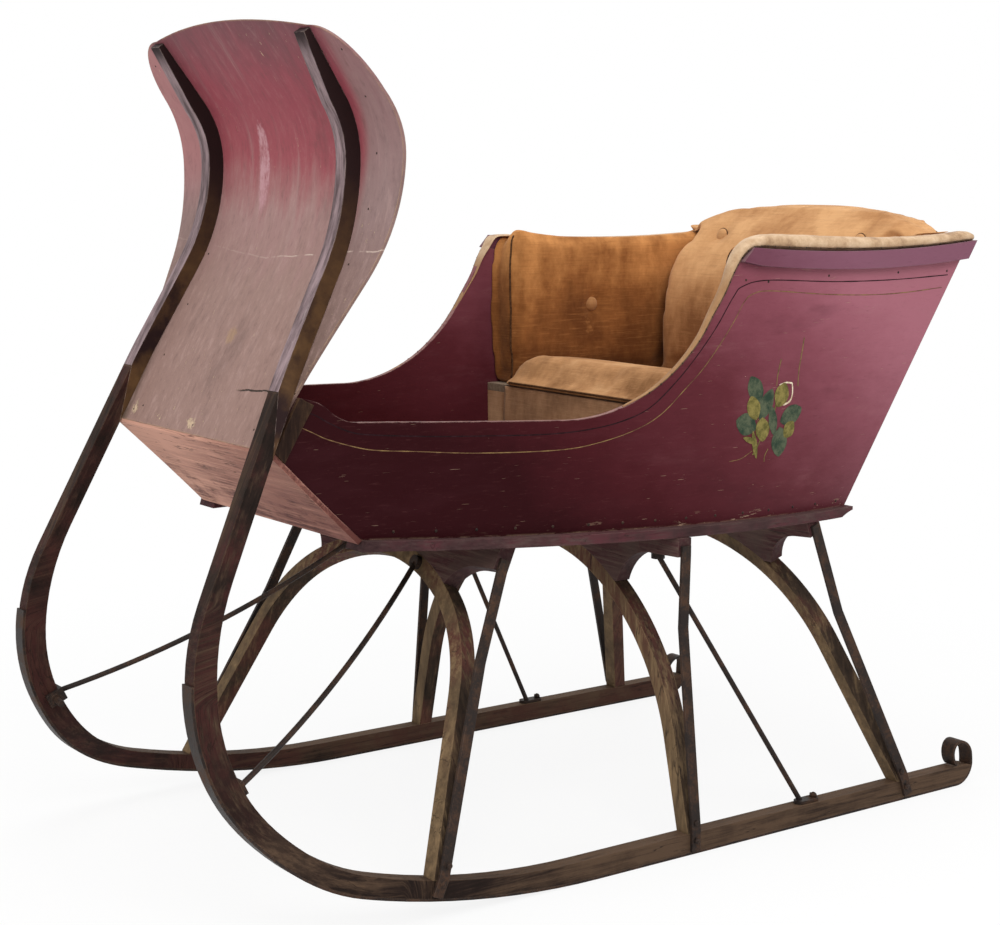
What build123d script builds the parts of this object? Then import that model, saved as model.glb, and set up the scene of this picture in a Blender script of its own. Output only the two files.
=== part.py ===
"""A light one-seat horse-drawn sleigh (a cutter), in millimetres.

+X points forward, +Y to the sleigh's left and +Z up. The origin is on the ground, in the
middle of the whole length. Side outlines are (x, z) pairs, front outlines (y, z) pairs and
plan outlines (x, y) pairs.
"""

import os
from math import cos, radians, sin, tan

from build123d import *

# ---------------------------------------------------------------- driving dimensions
REACH = 1400  # longer than any piece, for outlines that are extruded right through

# runners, with their iron shoes
half_gauge = 511  # middle of the sleigh to the outer face of a runner
bar_width = 35  # runners and dash rails, across the sleigh
shoe_thickness = 5
runner_depth = 44  # wood and shoe together, on the level stretch
nose_depth = 46  # wood alone, at the foremost point
neck_depth = 32  # the runner's upper end and the dash rail
tail_x = -877  # where the level stretch ends and the shoe's curl starts
bend_x = 150  # where the level stretch ends and the bend starts
upper_bend_lag = 50  # the upper edge starts to bend this much further forward
slow_bend_radius = 1931
slow_bend_turn = 16
nose_radius = 375
upper_nose_radius = 345
neck_radius = 395
neck_lean = 26  # degrees back from upright
scarf_low_z = 857
scarf_high_z = 977
shoe_end_turn = 6  # how far the shoe follows the neck's bend, in degrees
heel_radius = 44
curl_rise = 19
curl_radius = 26
curl_turn = 225

# the runner and the rail seen from the front
gather_start_z = 40
gather_turn = 32
gather_radius = 200
gather_run = 60
rail_lean_in = 8
rail_spread_z = 1135
rail_spread_radius = 1510
rail_spread_turn = 16

# dash
bow_turn = 3
bow_radius = 1500
dash_straight_run = 165
dash_back_radius = 410
dash_top_radius = 170
dash_top_turn = 35
rail_end_run = 141
rail_end_depth = 14
dash_thickness = 6
dash_crest_z = 1648
dash_half_width = 430
dash_foot_half_width = 318

# body
floor_middle_z = 667.2  # underside of the body at x = 0
floor_rise = 0.035  # the body rises this much forward
panel_thickness = 12
toe_thickness = 10
body_front_x = 561  # foot of the toe board's rake
toe_top_z = 868
body_rear_x = -632
back_rake = 0.55  # how far the back leans for each unit of height
side_low_z = 640  # height of the side's lower plan curve
side_high_z = 1300  # height of its upper plan curve
arm_under_z = 1178
arm_sag = 14
arm_thickness = 38
arm_front_x = -276
arm_rear_x = -953
arm_overhang = 18
back_crest_z = 1239.4
floor_thickness = 15
sill_thickness = 20
sill_overhang = 22
sill_width = 62
sill_tip = 35  # how far the sill runs on behind the body
batten_width = 30
batten_thickness = 9

# knees (bent wood arches) and what stands on them
knee_bar = 34
shoulder_end = 62  # degrees from upright where the shoulder passes into the crown
foot_spare = 60  # extra leg below the runner's top, cut to fit it
strap_width = 22
front_stay_foot_z = 53
strap_thickness = 7
rod_radius = 5.5
collar_radius = 14
collar_thickness = 12
stud_radius = 7
stud_length = 25
stud_neck = 1  # a small undercut between the stud and its boss

# seat
seat_front_x = -252
seat_top_z = 868
seat_board_thickness = 18
riser_thickness = 12
fall_thickness = 6
cushion_half_width = 355
cushion_crown_z = 922
pad_inner_y = 362
pad_top_z = 1226
back_cushion_foot_x = -706
back_cushion_crest_z = 1320
back_cushion_wing = 405

# clearances
seat_gap = 0.3  # between a soft piece and what carries it
fit_gap = 0.5  # between a panel and what it is fitted into


# ---------------------------------------------------------------- helpers
def trace(start, heading, steps, inset=0.0):
    """Draw runs (0, length) and tangent bends (turn, radius), all moved left by the inset."""
    here = Vector(*start) + Vector(0, 1).rotate(Axis.Z, heading) * inset
    for turn, size in steps:
        ahead = Vector(1, 0).rotate(Axis.Z, heading)
        if turn == 0:
            here = Line(here, here + ahead * size) @ 1
        else:
            radius = size - inset if turn > 0 else size + inset
            here = JernArc(here, ahead, radius, turn) @ 1
            heading += turn
    return here


def band(start, heading, steps, near, far):
    """Draw the closed outline between two insets of one path."""
    first = Vector(*start) + Vector(0, 1).rotate(Axis.Z, heading) * near
    other = Vector(*start) + Vector(0, 1).rotate(Axis.Z, heading) * far
    near_end = trace(start, heading, steps, near)
    far_end = trace(start, heading, steps, far)
    Line(first, other)
    Line(near_end, far_end)


def floor_z(x):
    """Height of the body's underside."""
    return floor_middle_z + floor_rise * x


def back_x(z):
    """The raked rear edge of the body at a height."""
    return body_rear_x - back_rake * (z - floor_z(body_rear_x))


def neck_front_x(z):
    """Front face of the straight neck below the scarf."""
    return scarf_x + (scarf_high_z - z) * tan(radians(neck_lean))


def neck_back_x(z):
    """Rear face of the straight neck below the scarf."""
    return neck_front_x(z) - neck_depth / cos(radians(neck_lean))


# the neck's straight starts here, found by following the bends
nose_z = (
    shoe_thickness
    + slow_bend_radius * (1 - cos(radians(slow_bend_turn)))
    + nose_radius * cos(radians(slow_bend_turn))
)
nose_x = (
    bend_x
    + slow_bend_radius * sin(radians(slow_bend_turn))
    + nose_radius * (1 - sin(radians(slow_bend_turn)))
)
neck_x = nose_x - neck_radius * (1 - cos(radians(neck_lean)))
neck_z = nose_z + neck_radius * sin(radians(neck_lean))
scarf_x = neck_x - (scarf_high_z - neck_z) * tan(radians(neck_lean))
wood_depth = runner_depth - shoe_thickness
neck_inner_radius = (
    neck_radius - nose_depth + (nose_depth - neck_depth) / (1 - cos(radians(neck_lean)))
)
runner_top_z = runner_depth

# the upper edge's first bend is as slow as it must be to leave the nose its depth
upper_bend_x = bend_x + upper_bend_lag
upper_nose_x = nose_x - nose_depth
upper_run = upper_nose_x - upper_bend_x - upper_nose_radius * (1 - sin(radians(slow_bend_turn)))
upper_bends = [
    (slow_bend_turn, upper_run / sin(radians(slow_bend_turn))),
    (90 - slow_bend_turn, upper_nose_radius),
]

# the gather: runner and rail seen from the front, drawn upwards along the outer face
gather_back_turn = gather_turn - rail_lean_in
gathered_z = (
    gather_start_z
    + gather_radius * (2 * sin(radians(gather_turn)) - sin(radians(rail_lean_in)))
    + gather_run * cos(radians(gather_turn))
)
gathered_y = (
    half_gauge
    - gather_radius * (1 + cos(radians(rail_lean_in)) - 2 * cos(radians(gather_turn)))
    - gather_run * sin(radians(gather_turn))
)
gather_foot = 50  # the path starts this far below the ground
gather_start = (half_gauge, -gather_foot)
gather_steps = [
    (0, gather_foot + gather_start_z),
    (gather_turn, gather_radius),
    (0, gather_run),
    (-gather_back_turn, gather_radius),
    (0, (rail_spread_z - gathered_z) / cos(radians(rail_lean_in))),
    (-rail_spread_turn, rail_spread_radius),
    (0, 3 * bar_width),
]

# the dash, drawn upwards along the rails' front face from below the toe board's top
dash_start_z = toe_top_z - neck_depth
dash_start = (neck_front_x(dash_start_z), dash_start_z)
dash_upper_steps = [
    (bow_turn, bow_radius),
    (0, dash_straight_run),
    (-(neck_lean + bow_turn), dash_back_radius),
    (-dash_top_turn, dash_top_radius),
]
dash_steps = [
    (0, (scarf_high_z - dash_start_z) / cos(radians(neck_lean))),
    *dash_upper_steps,
    (0, 2 * rail_end_run),
]


def gather_strip():
    """Front outline shared by the runner and the dash rail."""
    with BuildSketch(Plane.YZ) as strip:
        with BuildLine():
            band(gather_start, 90, gather_steps, 0, bar_width)
        make_face()
    return strip.sketch


def below_runner_top():
    """Side outline of everything under the runner's upper face."""
    with BuildSketch(Plane.XZ) as ground:
        with BuildLine():
            start = (-REACH, runner_top_z)
            end = trace(start, 0, [(0, REACH + upper_bend_x), *upper_bends])
            Polyline(end, (REACH, end.Y), (REACH, -REACH), (-REACH, -REACH), start)
        make_face()
    return ground.sketch


# ---------------------------------------------------------------- body side curves
# plan curves of the side's outer face; columns: rear point, middle point, waist point,
# front point. The first arc runs from rear to waist, the second from waist to front.
side_front_x = neck_back_x(toe_top_z) + batten_thickness
side_low_curve = ((-640, 376), (-140, 442), (430, 352), (600, 302), (side_front_x, 296))
side_high_curve = ((-998, 440), (-380, 451), (430, 380), (600, 362), (side_front_x, 356))


def side_line(curve, outset):
    """Draw a side's plan curve, moved outwards, and return its two ends."""
    rear, middle, waist, flank, front = [Vector(x, y + outset) for x, y in curve]
    ThreePointArc(rear, middle, waist)
    ThreePointArc(waist, flank, front)
    return rear, front


def side_shell(inner, outer):
    """The body side's wall between two outsets from its outer face."""
    with BuildPart() as shell:
        for height, curve in ((side_low_z, side_low_curve), (side_high_z, side_high_curve)):
            with BuildSketch(Plane.XY.offset(height)):
                with BuildLine():
                    inner_rear, inner_front = side_line(curve, inner)
                    outer_rear, outer_front = side_line(curve, outer)
                    Line(inner_rear, outer_rear)
                    Line(inner_front, outer_front)
                make_face()
        loft(ruled=True)
    return shell.part


def side_fill(outset):
    """What lies between the middle of the sleigh and its left side, moved outwards."""
    with BuildPart() as fill:
        for height, curve in ((side_low_z, side_low_curve), (side_high_z, side_high_curve)):
            with BuildSketch(Plane.XY.offset(height)):
                with BuildLine():
                    rear, front = side_line(curve, outset)
                    Polyline(rear, (rear.X, 0), (front.X, 0), front)
                make_face()
        loft(ruled=True)
    return fill.part


def across(outset):
    """The whole width between the two sides."""
    with BuildPart() as width:
        add(side_fill(outset))
        mirror(width.part, about=Plane.XZ)
    return width.part


pieces = {}


def keep(label, part):
    """Keep a finished piece under its name."""
    pieces[label] = part


def keep_both(label, part):
    """Keep a left piece and its mirror image on the right."""
    with BuildPart() as right:
        mirror(part, about=Plane.XZ)
    pieces[f"{label}_left"] = part
    pieces[f"{label}_right"] = right.part


def cut_side(solid, *corners):
    """What a closed side outline of straight edges leaves of a solid."""
    with BuildPart() as cut:
        add(solid)
        with BuildSketch(Plane.XZ):
            with BuildLine():
                Polyline(*corners, close=True)
            make_face()
        extrude(amount=REACH, both=True, mode=Mode.INTERSECT)
    return cut.part


# ---------------------------------------------------------------- runners and shoes
with BuildPart() as runner:
    with BuildSketch(Plane.XZ):
        with BuildLine():
            front_steps = [
                (0, bend_x - tail_x),
                (slow_bend_turn, slow_bend_radius),
                (90 - slow_bend_turn, nose_radius),
                (neck_lean, neck_radius),
                (0, (scarf_high_z - neck_z) / cos(radians(neck_lean))),
            ]
            front_end = trace((tail_x, shoe_thickness), 0, front_steps)
            tail_top = (tail_x - 0.75 * heel_radius, runner_top_z)
            back_steps = [
                (0, upper_bend_x - tail_top[0]),
                *upper_bends,
                (neck_lean, neck_inner_radius),
            ]
            back_end = trace(tail_top, 0, back_steps)
            scarf_foot = (neck_back_x(scarf_low_z), scarf_low_z)
            Polyline(back_end, scarf_foot, front_end)
            heel = JernArc((tail_x, shoe_thickness), (-1, 0), heel_radius, -80)
            Line(heel @ 1, tail_top)
        make_face()
    extrude(amount=REACH, both=True)
    add(extrude(gather_strip(), amount=REACH, both=True, mode=Mode.PRIVATE), mode=Mode.INTERSECT)
keep_both("runner", runner.part)

with BuildPart() as shoe:
    with BuildSketch(Plane.XZ):
        with BuildLine():
            curl_heading = 270 - curl_turn
            curl_side = Vector(0, -1).rotate(Axis.Z, curl_heading) * curl_radius
            curl_centre = Vector(tail_x - heel_radius + curl_radius, shoe_thickness + heel_radius)
            curl_start = curl_centre + Vector(0, curl_rise) + curl_side
            shoe_steps = [
                (curl_turn, curl_radius),
                (0, curl_rise),
                (90, heel_radius),
                (0, bend_x - tail_x),
                (slow_bend_turn, slow_bend_radius),
                (90 - slow_bend_turn, nose_radius),
                (shoe_end_turn, neck_radius),
            ]
            band((curl_start.X, curl_start.Y), curl_heading, shoe_steps, 0, -shoe_thickness)
        make_face()
    extrude(amount=REACH, both=True)
    add(extrude(gather_strip(), amount=REACH, both=True, mode=Mode.PRIVATE), mode=Mode.INTERSECT)
keep_both("shoe", shoe.part)

# ---------------------------------------------------------------- dash
rail_steps = [*dash_upper_steps, (0, rail_end_run)]
with BuildPart() as dash_rail:
    with BuildSketch(Plane.XZ):
        with BuildLine():
            rail_start = (scarf_x, scarf_high_z)
            rail_heading = 90 + neck_lean
            front_bend = trace(rail_start, rail_heading, dash_upper_steps)
            back_end = trace(rail_start, rail_heading, rail_steps, neck_depth)
            end_heading = rail_heading + sum(turn for turn, run in rail_steps)
            end_side = Vector(0, 1).rotate(Axis.Z, end_heading) * rail_end_depth
            side = Vector(0, 1).rotate(Axis.Z, rail_heading) * neck_depth
            back_start = Vector(*rail_start) + side
            Polyline(front_bend, back_end - end_side, back_end)
            Polyline(back_start, (neck_back_x(scarf_low_z), scarf_low_z), rail_start)
        make_face()
    extrude(amount=REACH, both=True)
    add(extrude(gather_strip(), amount=REACH, both=True, mode=Mode.PRIVATE), mode=Mode.INTERSECT)
keep_both("dash_rail", dash_rail.part)

# right half of the dash's front outline, upwards; columns: end of each arc, a point on it
dash_arcs = (
    ((381, 1153), (351, 1060)),
    ((dash_half_width, 1390), (412, 1268)),
    ((423, 1510), (431, 1452)),
    ((300, 1625), (386, 1591)),
)
with BuildPart() as dash_panel:
    with BuildSketch(Plane.XZ):
        with BuildLine():
            band(dash_start, 90 + neck_lean, dash_steps, neck_depth, neck_depth + dash_thickness)
        make_face()
    extrude(amount=REACH, both=True)
    with BuildSketch(Plane.YZ):
        with BuildLine() as outline:
            here = (dash_foot_half_width, 945)
            Polyline((0, toe_top_z), (dash_foot_half_width, toe_top_z), here)
            for end, between in dash_arcs:
                ThreePointArc(here, between, end)
                here = end
            RadiusArc(here, (-here[0], here[1]), -(here[0] ** 2 / (dash_crest_z - here[1]) / 2))
            split(bisect_by=Plane.YZ, keep=Keep.TOP)
            mirror(outline.line, about=Plane.YZ)
        make_face()
    extrude(amount=REACH, both=True, mode=Mode.INTERSECT)
keep("dash_panel", dash_panel.part)

# ---------------------------------------------------------------- body
dash_rear = dash_thickness / cos(radians(neck_lean)) + fit_gap
front_foot = (neck_back_x(toe_top_z) - dash_rear, toe_top_z)
front_top_z = 965
front_top = (neck_back_x(front_top_z) - dash_rear, front_top_z)
body_front = (body_front_x, floor_z(body_front_x))
body_rear = (body_rear_x, floor_z(body_rear_x))
arm_mid_x = (arm_front_x + arm_rear_x) / 2
arm_under_front = (arm_front_x - 25, arm_under_z)
arm_under_middle = (arm_mid_x, arm_under_z - arm_sag)
arm_under_rear = (arm_rear_x, arm_under_z)
arm_nose = (arm_front_x + 26, arm_under_z + 10)

with BuildPart() as side_panel:
    add(side_shell(-panel_thickness, 0))
    with BuildSketch(Plane.XZ):
        with BuildLine():
            Polyline(front_top, front_foot, body_front, body_rear, arm_under_rear)
            ThreePointArc(arm_under_rear, arm_under_middle, arm_under_front)
            swoop_top = (-174, 1067)
            swoop_foot = (150, 893)
            ear_foot = (575, 911)
            ear_turn = (627, 931)
            ear_top = (668, 957)
            Polyline(arm_under_front, arm_nose, swoop_top)
            ThreePointArc(swoop_top, (-45, 945), swoop_foot)
            Line(swoop_foot, ear_foot)
            ThreePointArc(ear_foot, (602, 917), ear_turn)
            ThreePointArc(ear_turn, (645, 946), ear_top)
            Line(ear_top, front_top)
        make_face()
    extrude(amount=REACH, both=True, mode=Mode.INTERSECT)
rake_line = ((back_x(0), 0), (back_x(REACH), REACH))
keep_both("side_panel", cut_side(side_panel.part, *rake_line, (REACH, REACH), (REACH, 0)))

rake_run = front_foot[0] - body_front[0]
rake_rise = front_foot[1] - body_front[1]
rake_length = (rake_run**2 + rake_rise**2) ** 0.5
batten_share = batten_width / rake_length
batten_foot = (
    front_foot[0] - batten_share * rake_run,
    front_foot[1] - batten_share * rake_rise,
)
batten_top = (front_top[0] - batten_width, front_top[1] - batten_width / 2)
corner_batten = cut_side(
    side_shell(0, batten_thickness), front_foot, batten_foot, batten_top, front_top
)
keep_both("corner_batten", corner_batten)

# the toe board closes the rake below the dash and covers the sides' ends
toe_step = (toe_thickness * rake_rise / rake_length, -toe_thickness * rake_run / rake_length)
toe_foot = (body_front[0] + toe_step[0], body_front[1] + toe_step[1])
toe_head = (front_foot[0] + toe_step[0], front_foot[1] + toe_step[1])
toe_tip = (neck_back_x(toe_top_z) - fit_gap, toe_top_z)
toe_board = cut_side(
    across(batten_thickness / 3), front_foot, body_front, toe_foot, toe_head, toe_tip
)
keep("toe_board", toe_board)

cabin = across(-panel_thickness - fit_gap)
floor_rear_x = body_rear_x - back_rake * floor_thickness + panel_thickness
floor_front_x = body_front_x + floor_thickness
floor_board = cut_side(
    cabin,
    body_front,
    body_rear,
    (floor_rear_x, floor_z(floor_rear_x) + floor_thickness),
    (floor_front_x, floor_z(floor_front_x) + floor_thickness),
)
keep("floor_board", floor_board)

# the back leans with the sides' rear edges; above the arms it is narrower, with an arched top
back_front = panel_thickness * (1 + back_rake**2) ** 0.5
back_shoulder_z = 1214
back_half_width = 402
floor_top_rear = floor_z(body_rear_x) + floor_thickness + fit_gap
with BuildPart() as back_panel:
    add(cabin)
    with BuildSketch(Plane.XZ):
        with BuildLine():
            Polyline(
                (back_x(floor_top_rear), floor_top_rear),
                (back_x(REACH), REACH),
                (back_x(REACH) + back_front, REACH),
                (back_x(floor_top_rear) + back_front, floor_top_rear),
                close=True,
            )
        make_face()
    extrude(amount=REACH, both=True, mode=Mode.INTERSECT)
    with BuildSketch(Plane.YZ):
        with BuildLine():
            arm_line = arm_under_z - arm_sag
            Polyline(
                (-back_half_width, back_shoulder_z),
                (-back_half_width, arm_line),
                (-REACH, arm_line),
                (-REACH, 0),
                (REACH, 0),
                (REACH, arm_line),
                (back_half_width, arm_line),
                (back_half_width, back_shoulder_z),
            )
            ThreePointArc(
                (back_half_width, back_shoulder_z),
                (0, back_crest_z),
                (-back_half_width, back_shoulder_z),
            )
        make_face()
    extrude(amount=REACH, both=True, mode=Mode.INTERSECT)
keep("back_panel", back_panel.part)

# sills run under the sides and carry the floor's edges; each ends in a small ogee
with BuildPart() as sill:
    with BuildSketch(Plane.XY.offset(side_low_z - 2 * sill_width)):
        with BuildLine():
            inner_rear, inner_front = side_line(side_low_curve, sill_overhang - sill_width)
            outer_rear, outer_front = side_line(side_low_curve, sill_overhang)
            Line(inner_rear, outer_rear)
            Line(inner_front, outer_front)
        make_face()
    extrude(amount=4 * sill_width)
    with BuildSketch(Plane.XZ):
        with BuildLine():
            front_end = body_front_x + toe_step[0]
            rear_end = body_rear_x - sill_tip
            ogee_x = body_rear_x + sill_tip
            ogee = (ogee_x, floor_z(ogee_x) - sill_thickness)
            tip = (rear_end, floor_z(rear_end) - sill_thickness / 4)
            Polyline(
                tip,
                (rear_end, floor_z(rear_end)),
                (body_front_x, floor_z(body_front_x)),
                (front_end, floor_z(front_end) - sill_thickness),
                ogee,
            )
            ThreePointArc(
                ogee, ((ogee[0] + tip[0]) / 2, tip[1] - sill_thickness / 8), tip
            )
        make_face()
    extrude(amount=REACH, both=True, mode=Mode.INTERSECT)
keep_both("sill", sill.part)

with BuildPart() as arm_rail:
    add(side_shell(-panel_thickness, arm_overhang))
    with BuildSketch(Plane.XZ):
        with BuildLine():
            rear_high = (arm_rear_x, arm_under_z + arm_thickness)
            front_high = (arm_front_x, arm_under_z + arm_thickness)
            rear_end_x = arm_rear_x - arm_thickness / 4
            ThreePointArc(arm_under_rear, arm_under_middle, arm_under_front)
            Polyline(arm_under_front, arm_nose, front_high)
            middle_high = (arm_mid_x, arm_under_z + arm_thickness - arm_sag)
            ThreePointArc(front_high, middle_high, rear_high)
            rear_end = (rear_end_x, arm_under_z + arm_thickness / 2)
            ThreePointArc(rear_high, rear_end, arm_under_rear)
        make_face()
    extrude(amount=REACH, both=True, mode=Mode.INTERSECT)
keep_both("arm_rail", arm_rail.part)

# ---------------------------------------------------------------- knees, bolsters, stays
# columns: name, front face x at the foot, foot z, lean back, leg tilt, straight leg,
# shoulder radius; then, measured in from the runner's outer face: bolster end and its lip z,
# cove top, cove foot and its z, stay knee and its z
knees = (
    ("front", 533, 80, 23.2, 18, 335, 307, 133, 613, 193, 281, 552, 105, 450),
    ("middle", -81, 44, 0, 13.5, 186, 463, 42, 606, 139, 236, 525, 47, 460),
    ("rear", -684, 44, -19.8, 20, 330, 330, 83, 596, 133, 233, 515, 79, 420),
)
runner_cut = extrude(below_runner_top(), amount=REACH, both=True)


def knee_plane(x, z, lean):
    """The front face of a knee: local x across the sleigh, local y up the leg."""
    tip = radians(lean)
    return Plane(origin=(x, 0, z), x_dir=(0, 1, 0), z_dir=(cos(tip), 0, sin(tip)))


def knee_path(tilt, leg, shoulder):
    """Start point, heading and steps of a knee's inner edge, from foot to foot."""
    foot_y = half_gauge - knee_bar / cos(radians(tilt))
    shoulder_y = foot_y - leg * sin(radians(tilt))
    shoulder_y -= shoulder * (cos(radians(tilt)) - cos(radians(shoulder_end)))
    crown = shoulder_y / cos(radians(shoulder_end))
    start = (foot_y + foot_spare * sin(radians(tilt)), -foot_spare * cos(radians(tilt)))
    half = [
        (0, foot_spare + leg),
        (shoulder_end - tilt, shoulder),
        (90 - shoulder_end, crown),
    ]
    return start, 90 + tilt, [*half, *reversed(half)]


for row in knees:
    name, knee_x, knee_z, lean, tilt, leg, shoulder = row[:7]
    end_in, lip_z, cove_in, cove_foot_in, cove_foot_z, stay_in, stay_z = row[7:]
    end_y = half_gauge - end_in
    cove_y = half_gauge - cove_in
    cove_foot_y = half_gauge - cove_foot_in
    stay_y = half_gauge - stay_in
    face = knee_plane(knee_x, knee_z, lean)
    start, heading, steps = knee_path(tilt, leg, shoulder)
    slope = cos(radians(lean))

    with BuildPart() as knee:
        with BuildSketch(face):
            with BuildLine():
                band(start, heading, steps, 0, -knee_bar)
            make_face()
        extrude(amount=-knee_bar)
        add(runner_cut, mode=Mode.SUBTRACT)
        with BuildSketch(Plane.YZ):
            Rectangle(2 * half_gauge, 2 * REACH)
        extrude(amount=REACH, both=True, mode=Mode.INTERSECT)
    keep(f"knee_{name}", knee.part)

    # the bolster fills the room between the knee's crown and the sills
    with BuildPart() as bolster:
        with BuildSketch(face) as bolster_face:
            with BuildLine() as half_bolster:
                lip = (end_y, (lip_z - knee_z) / slope)
                cove = (cove_y, (lip_z - 4 - knee_z) / slope)
                cove_foot = (cove_foot_y, (cove_foot_z - knee_z) / slope)
                cove_mid = (0.42 * cove_y + 0.58 * cove_foot_y, 0.72 * cove[1] + 0.28 * cove_foot[1])
                high = (side_low_z + sill_width - knee_z) / slope
                Polyline((0, high), (end_y, high), lip, cove)
                ThreePointArc(cove, cove_mid, cove_foot)
                Line(cove_foot, (0, cove_foot[1]))
                mirror(half_bolster.line, about=Plane.YZ)
            make_face()
            with BuildLine():
                outer_end = trace(start, heading, steps, -knee_bar)
                outer_start = Vector(-outer_end.X, outer_end.Y)
                Line(outer_start, outer_end)
            make_face(mode=Mode.SUBTRACT)
        extrude(amount=-knee_bar)
        with BuildSketch(Plane.XZ):
            with BuildLine():
                Polyline(
                    (-REACH, floor_z(-REACH) - sill_thickness),
                    (REACH, floor_z(REACH) - sill_thickness),
                    (REACH, REACH),
                    (-REACH, REACH),
                    close=True,
                )
            make_face()
        extrude(amount=REACH, both=True, mode=Mode.SUBTRACT)
    keep(f"bolster_{name}", bolster.part)

    # an iron stay runs from the runner's outer face to the bolster's end
    stay_face = face.offset((strap_width - knee_bar) / 2)
    foot_z = front_stay_foot_z if name == "front" else shoe_thickness + 2
    with BuildPart() as stay:
        with BuildSketch(stay_face):
            with BuildLine():
                FilletPolyline(
                    (half_gauge + seat_gap, (foot_z - knee_z) / slope),
                    (half_gauge + seat_gap, 8 / slope),
                    (stay_y + seat_gap, (stay_z - knee_z) / slope),
                    (end_y + seat_gap, (lip_z + 4 - knee_z) / slope),
                    (end_y + seat_gap, (lip_z + 22 - knee_z) / slope),
                    radius=9,
                )
                offset(amount=strap_thickness, side=Side.RIGHT)
            make_face()
        extrude(amount=-strap_width)
    keep_both(f"stay_{name}", stay.part)

# ---------------------------------------------------------------- seat
seat_board = cut_side(
    cabin,
    (seat_front_x, seat_top_z - seat_board_thickness),
    (seat_front_x, seat_top_z),
    (back_x(seat_top_z) + back_front + fit_gap, seat_top_z),
    (
        back_x(seat_top_z - seat_board_thickness) + back_front + fit_gap,
        seat_top_z - seat_board_thickness,
    ),
)
keep("seat_board", seat_board)
floor_top_seat = floor_z(seat_front_x) + floor_thickness
riser_low = floor_top_seat
seat_riser = cut_side(
    cabin,
    (seat_front_x, riser_low),
    (seat_front_x, seat_top_z - seat_board_thickness),
    (seat_front_x - riser_thickness, seat_top_z - seat_board_thickness),
    (seat_front_x - riser_thickness, riser_low - floor_rise * riser_thickness),
)
keep("seat_riser", seat_riser)

# ---------------------------------------------------------------- upholstery
fall_low = floor_z(seat_front_x) + floor_thickness + 2
with BuildPart() as seat_fall:
    with BuildSketch(Plane.YZ.offset(seat_front_x + seat_gap)):
        with Locations((0, (fall_low + seat_top_z) / 2)):
            Rectangle(2 * cushion_half_width, seat_top_z - fall_low)
    extrude(amount=fall_thickness)
keep("seat_fall", seat_fall.part)

with BuildPart() as seat_cushion:
    with BuildSketch(Plane.XZ):
        with BuildLine():
            low = seat_top_z + seat_gap
            rear = back_cushion_foot_x + 2
            nose_top = (seat_front_x - 60, cushion_crown_z - 2)
            Polyline(nose_top, (seat_front_x, cushion_crown_z - 32), (seat_front_x, low))
            Polyline((seat_front_x, low), (rear, low), (rear, cushion_crown_z - 14))
            middle = ((seat_front_x + rear) / 2, cushion_crown_z)
            ThreePointArc((rear, cushion_crown_z - 14), middle, nose_top)
        make_face()
    extrude(amount=cushion_half_width, both=True)
    fillet(seat_cushion.edges().filter_by(Axis.Z).group_by(Axis.X)[-1], radius=20)
keep("seat_cushion", seat_cushion.part)

# the back cushion leans on the back panel and rises over it and over the arm pads
back_lean = back_front + fit_gap
with BuildPart() as back_cushion:
    with BuildSketch(Plane.XZ):
        with BuildLine():
            low = seat_top_z + seat_gap
            lumbar = (back_cushion_foot_x - 4, 1005)
            brow = (-871, 1269)
            crest = (-922, back_cushion_crest_z)
            nape = (-957, 1290)
            behind = (back_x(back_crest_z) + back_lean, back_crest_z)
            Line((back_cushion_foot_x, low), lumbar)
            ThreePointArc(lumbar, (-741, 1129), (-810, 1221))
            Line((-810, 1221), brow)
            ThreePointArc(brow, (-893, 1304), crest)
            ThreePointArc(crest, (-948, 1313), nape)
            Polyline(nape, behind, (back_x(low) + back_lean, low), (back_cushion_foot_x, low))
        make_face()
    extrude(amount=REACH, both=True)
    with BuildSketch(Plane.YZ):
        with BuildLine() as outline:
            shoulder = (back_cushion_wing, pad_top_z + 12)
            Polyline(
                (0, low),
                (cushion_half_width + 3, low),
                (cushion_half_width + 3, pad_top_z + 6),
                (back_cushion_wing - 12, pad_top_z + 6),
                shoulder,
            )
            ThreePointArc(shoulder, (back_cushion_wing - 31, 1262), (307, 1286))
            ThreePointArc((307, 1286), (160, 1312), (0, back_cushion_crest_z))
            mirror(outline.line, about=Plane.YZ)
        make_face()
    extrude(amount=REACH, both=True, mode=Mode.INTERSECT)
keep("back_cushion", back_cushion.part)

# padded arms line the sides above the seat board
with BuildPart() as arm_pad:
    add(side_fill(-panel_thickness - fit_gap))
    with BuildSketch(Plane.XZ.offset(-pad_inner_y)):
        Rectangle(2 * REACH, 2 * REACH)
    extrude(amount=REACH, mode=Mode.SUBTRACT)
    with BuildSketch(Plane.XZ):
        with BuildLine():
            low = seat_top_z + seat_gap
            pad_foot = (-268, low)
            pad_head = (-290, pad_top_z + 2)
            pad_rear = (back_x(pad_top_z) + back_lean, pad_top_z)
            ThreePointArc(pad_foot, (-253, 1064), (-262, 1180))
            ThreePointArc((-262, 1180), (-268, 1206), pad_head)
            ThreePointArc(pad_head, (-600, pad_top_z - 14), pad_rear)
            Polyline(pad_rear, (back_x(low) + back_lean, low), pad_foot)
        make_face()
    extrude(amount=REACH, both=True, mode=Mode.INTERSECT)
keep_both("arm_pad", arm_pad.part)

# ---------------------------------------------------------------- braces
gather_tilt = radians(rail_lean_in)
front_face = knee_plane(*knees[0][1:4])


def rod(start, middle, end):
    """A round iron rod along an arc."""
    with BuildPart() as bar:
        with BuildLine() as path:
            ThreePointArc(start, middle, end)
        with BuildSketch(Plane(origin=path.line @ 0, z_dir=path.line % 0)):
            Circle(rod_radius)
        sweep(path=path.line)
    return bar.part


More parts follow.
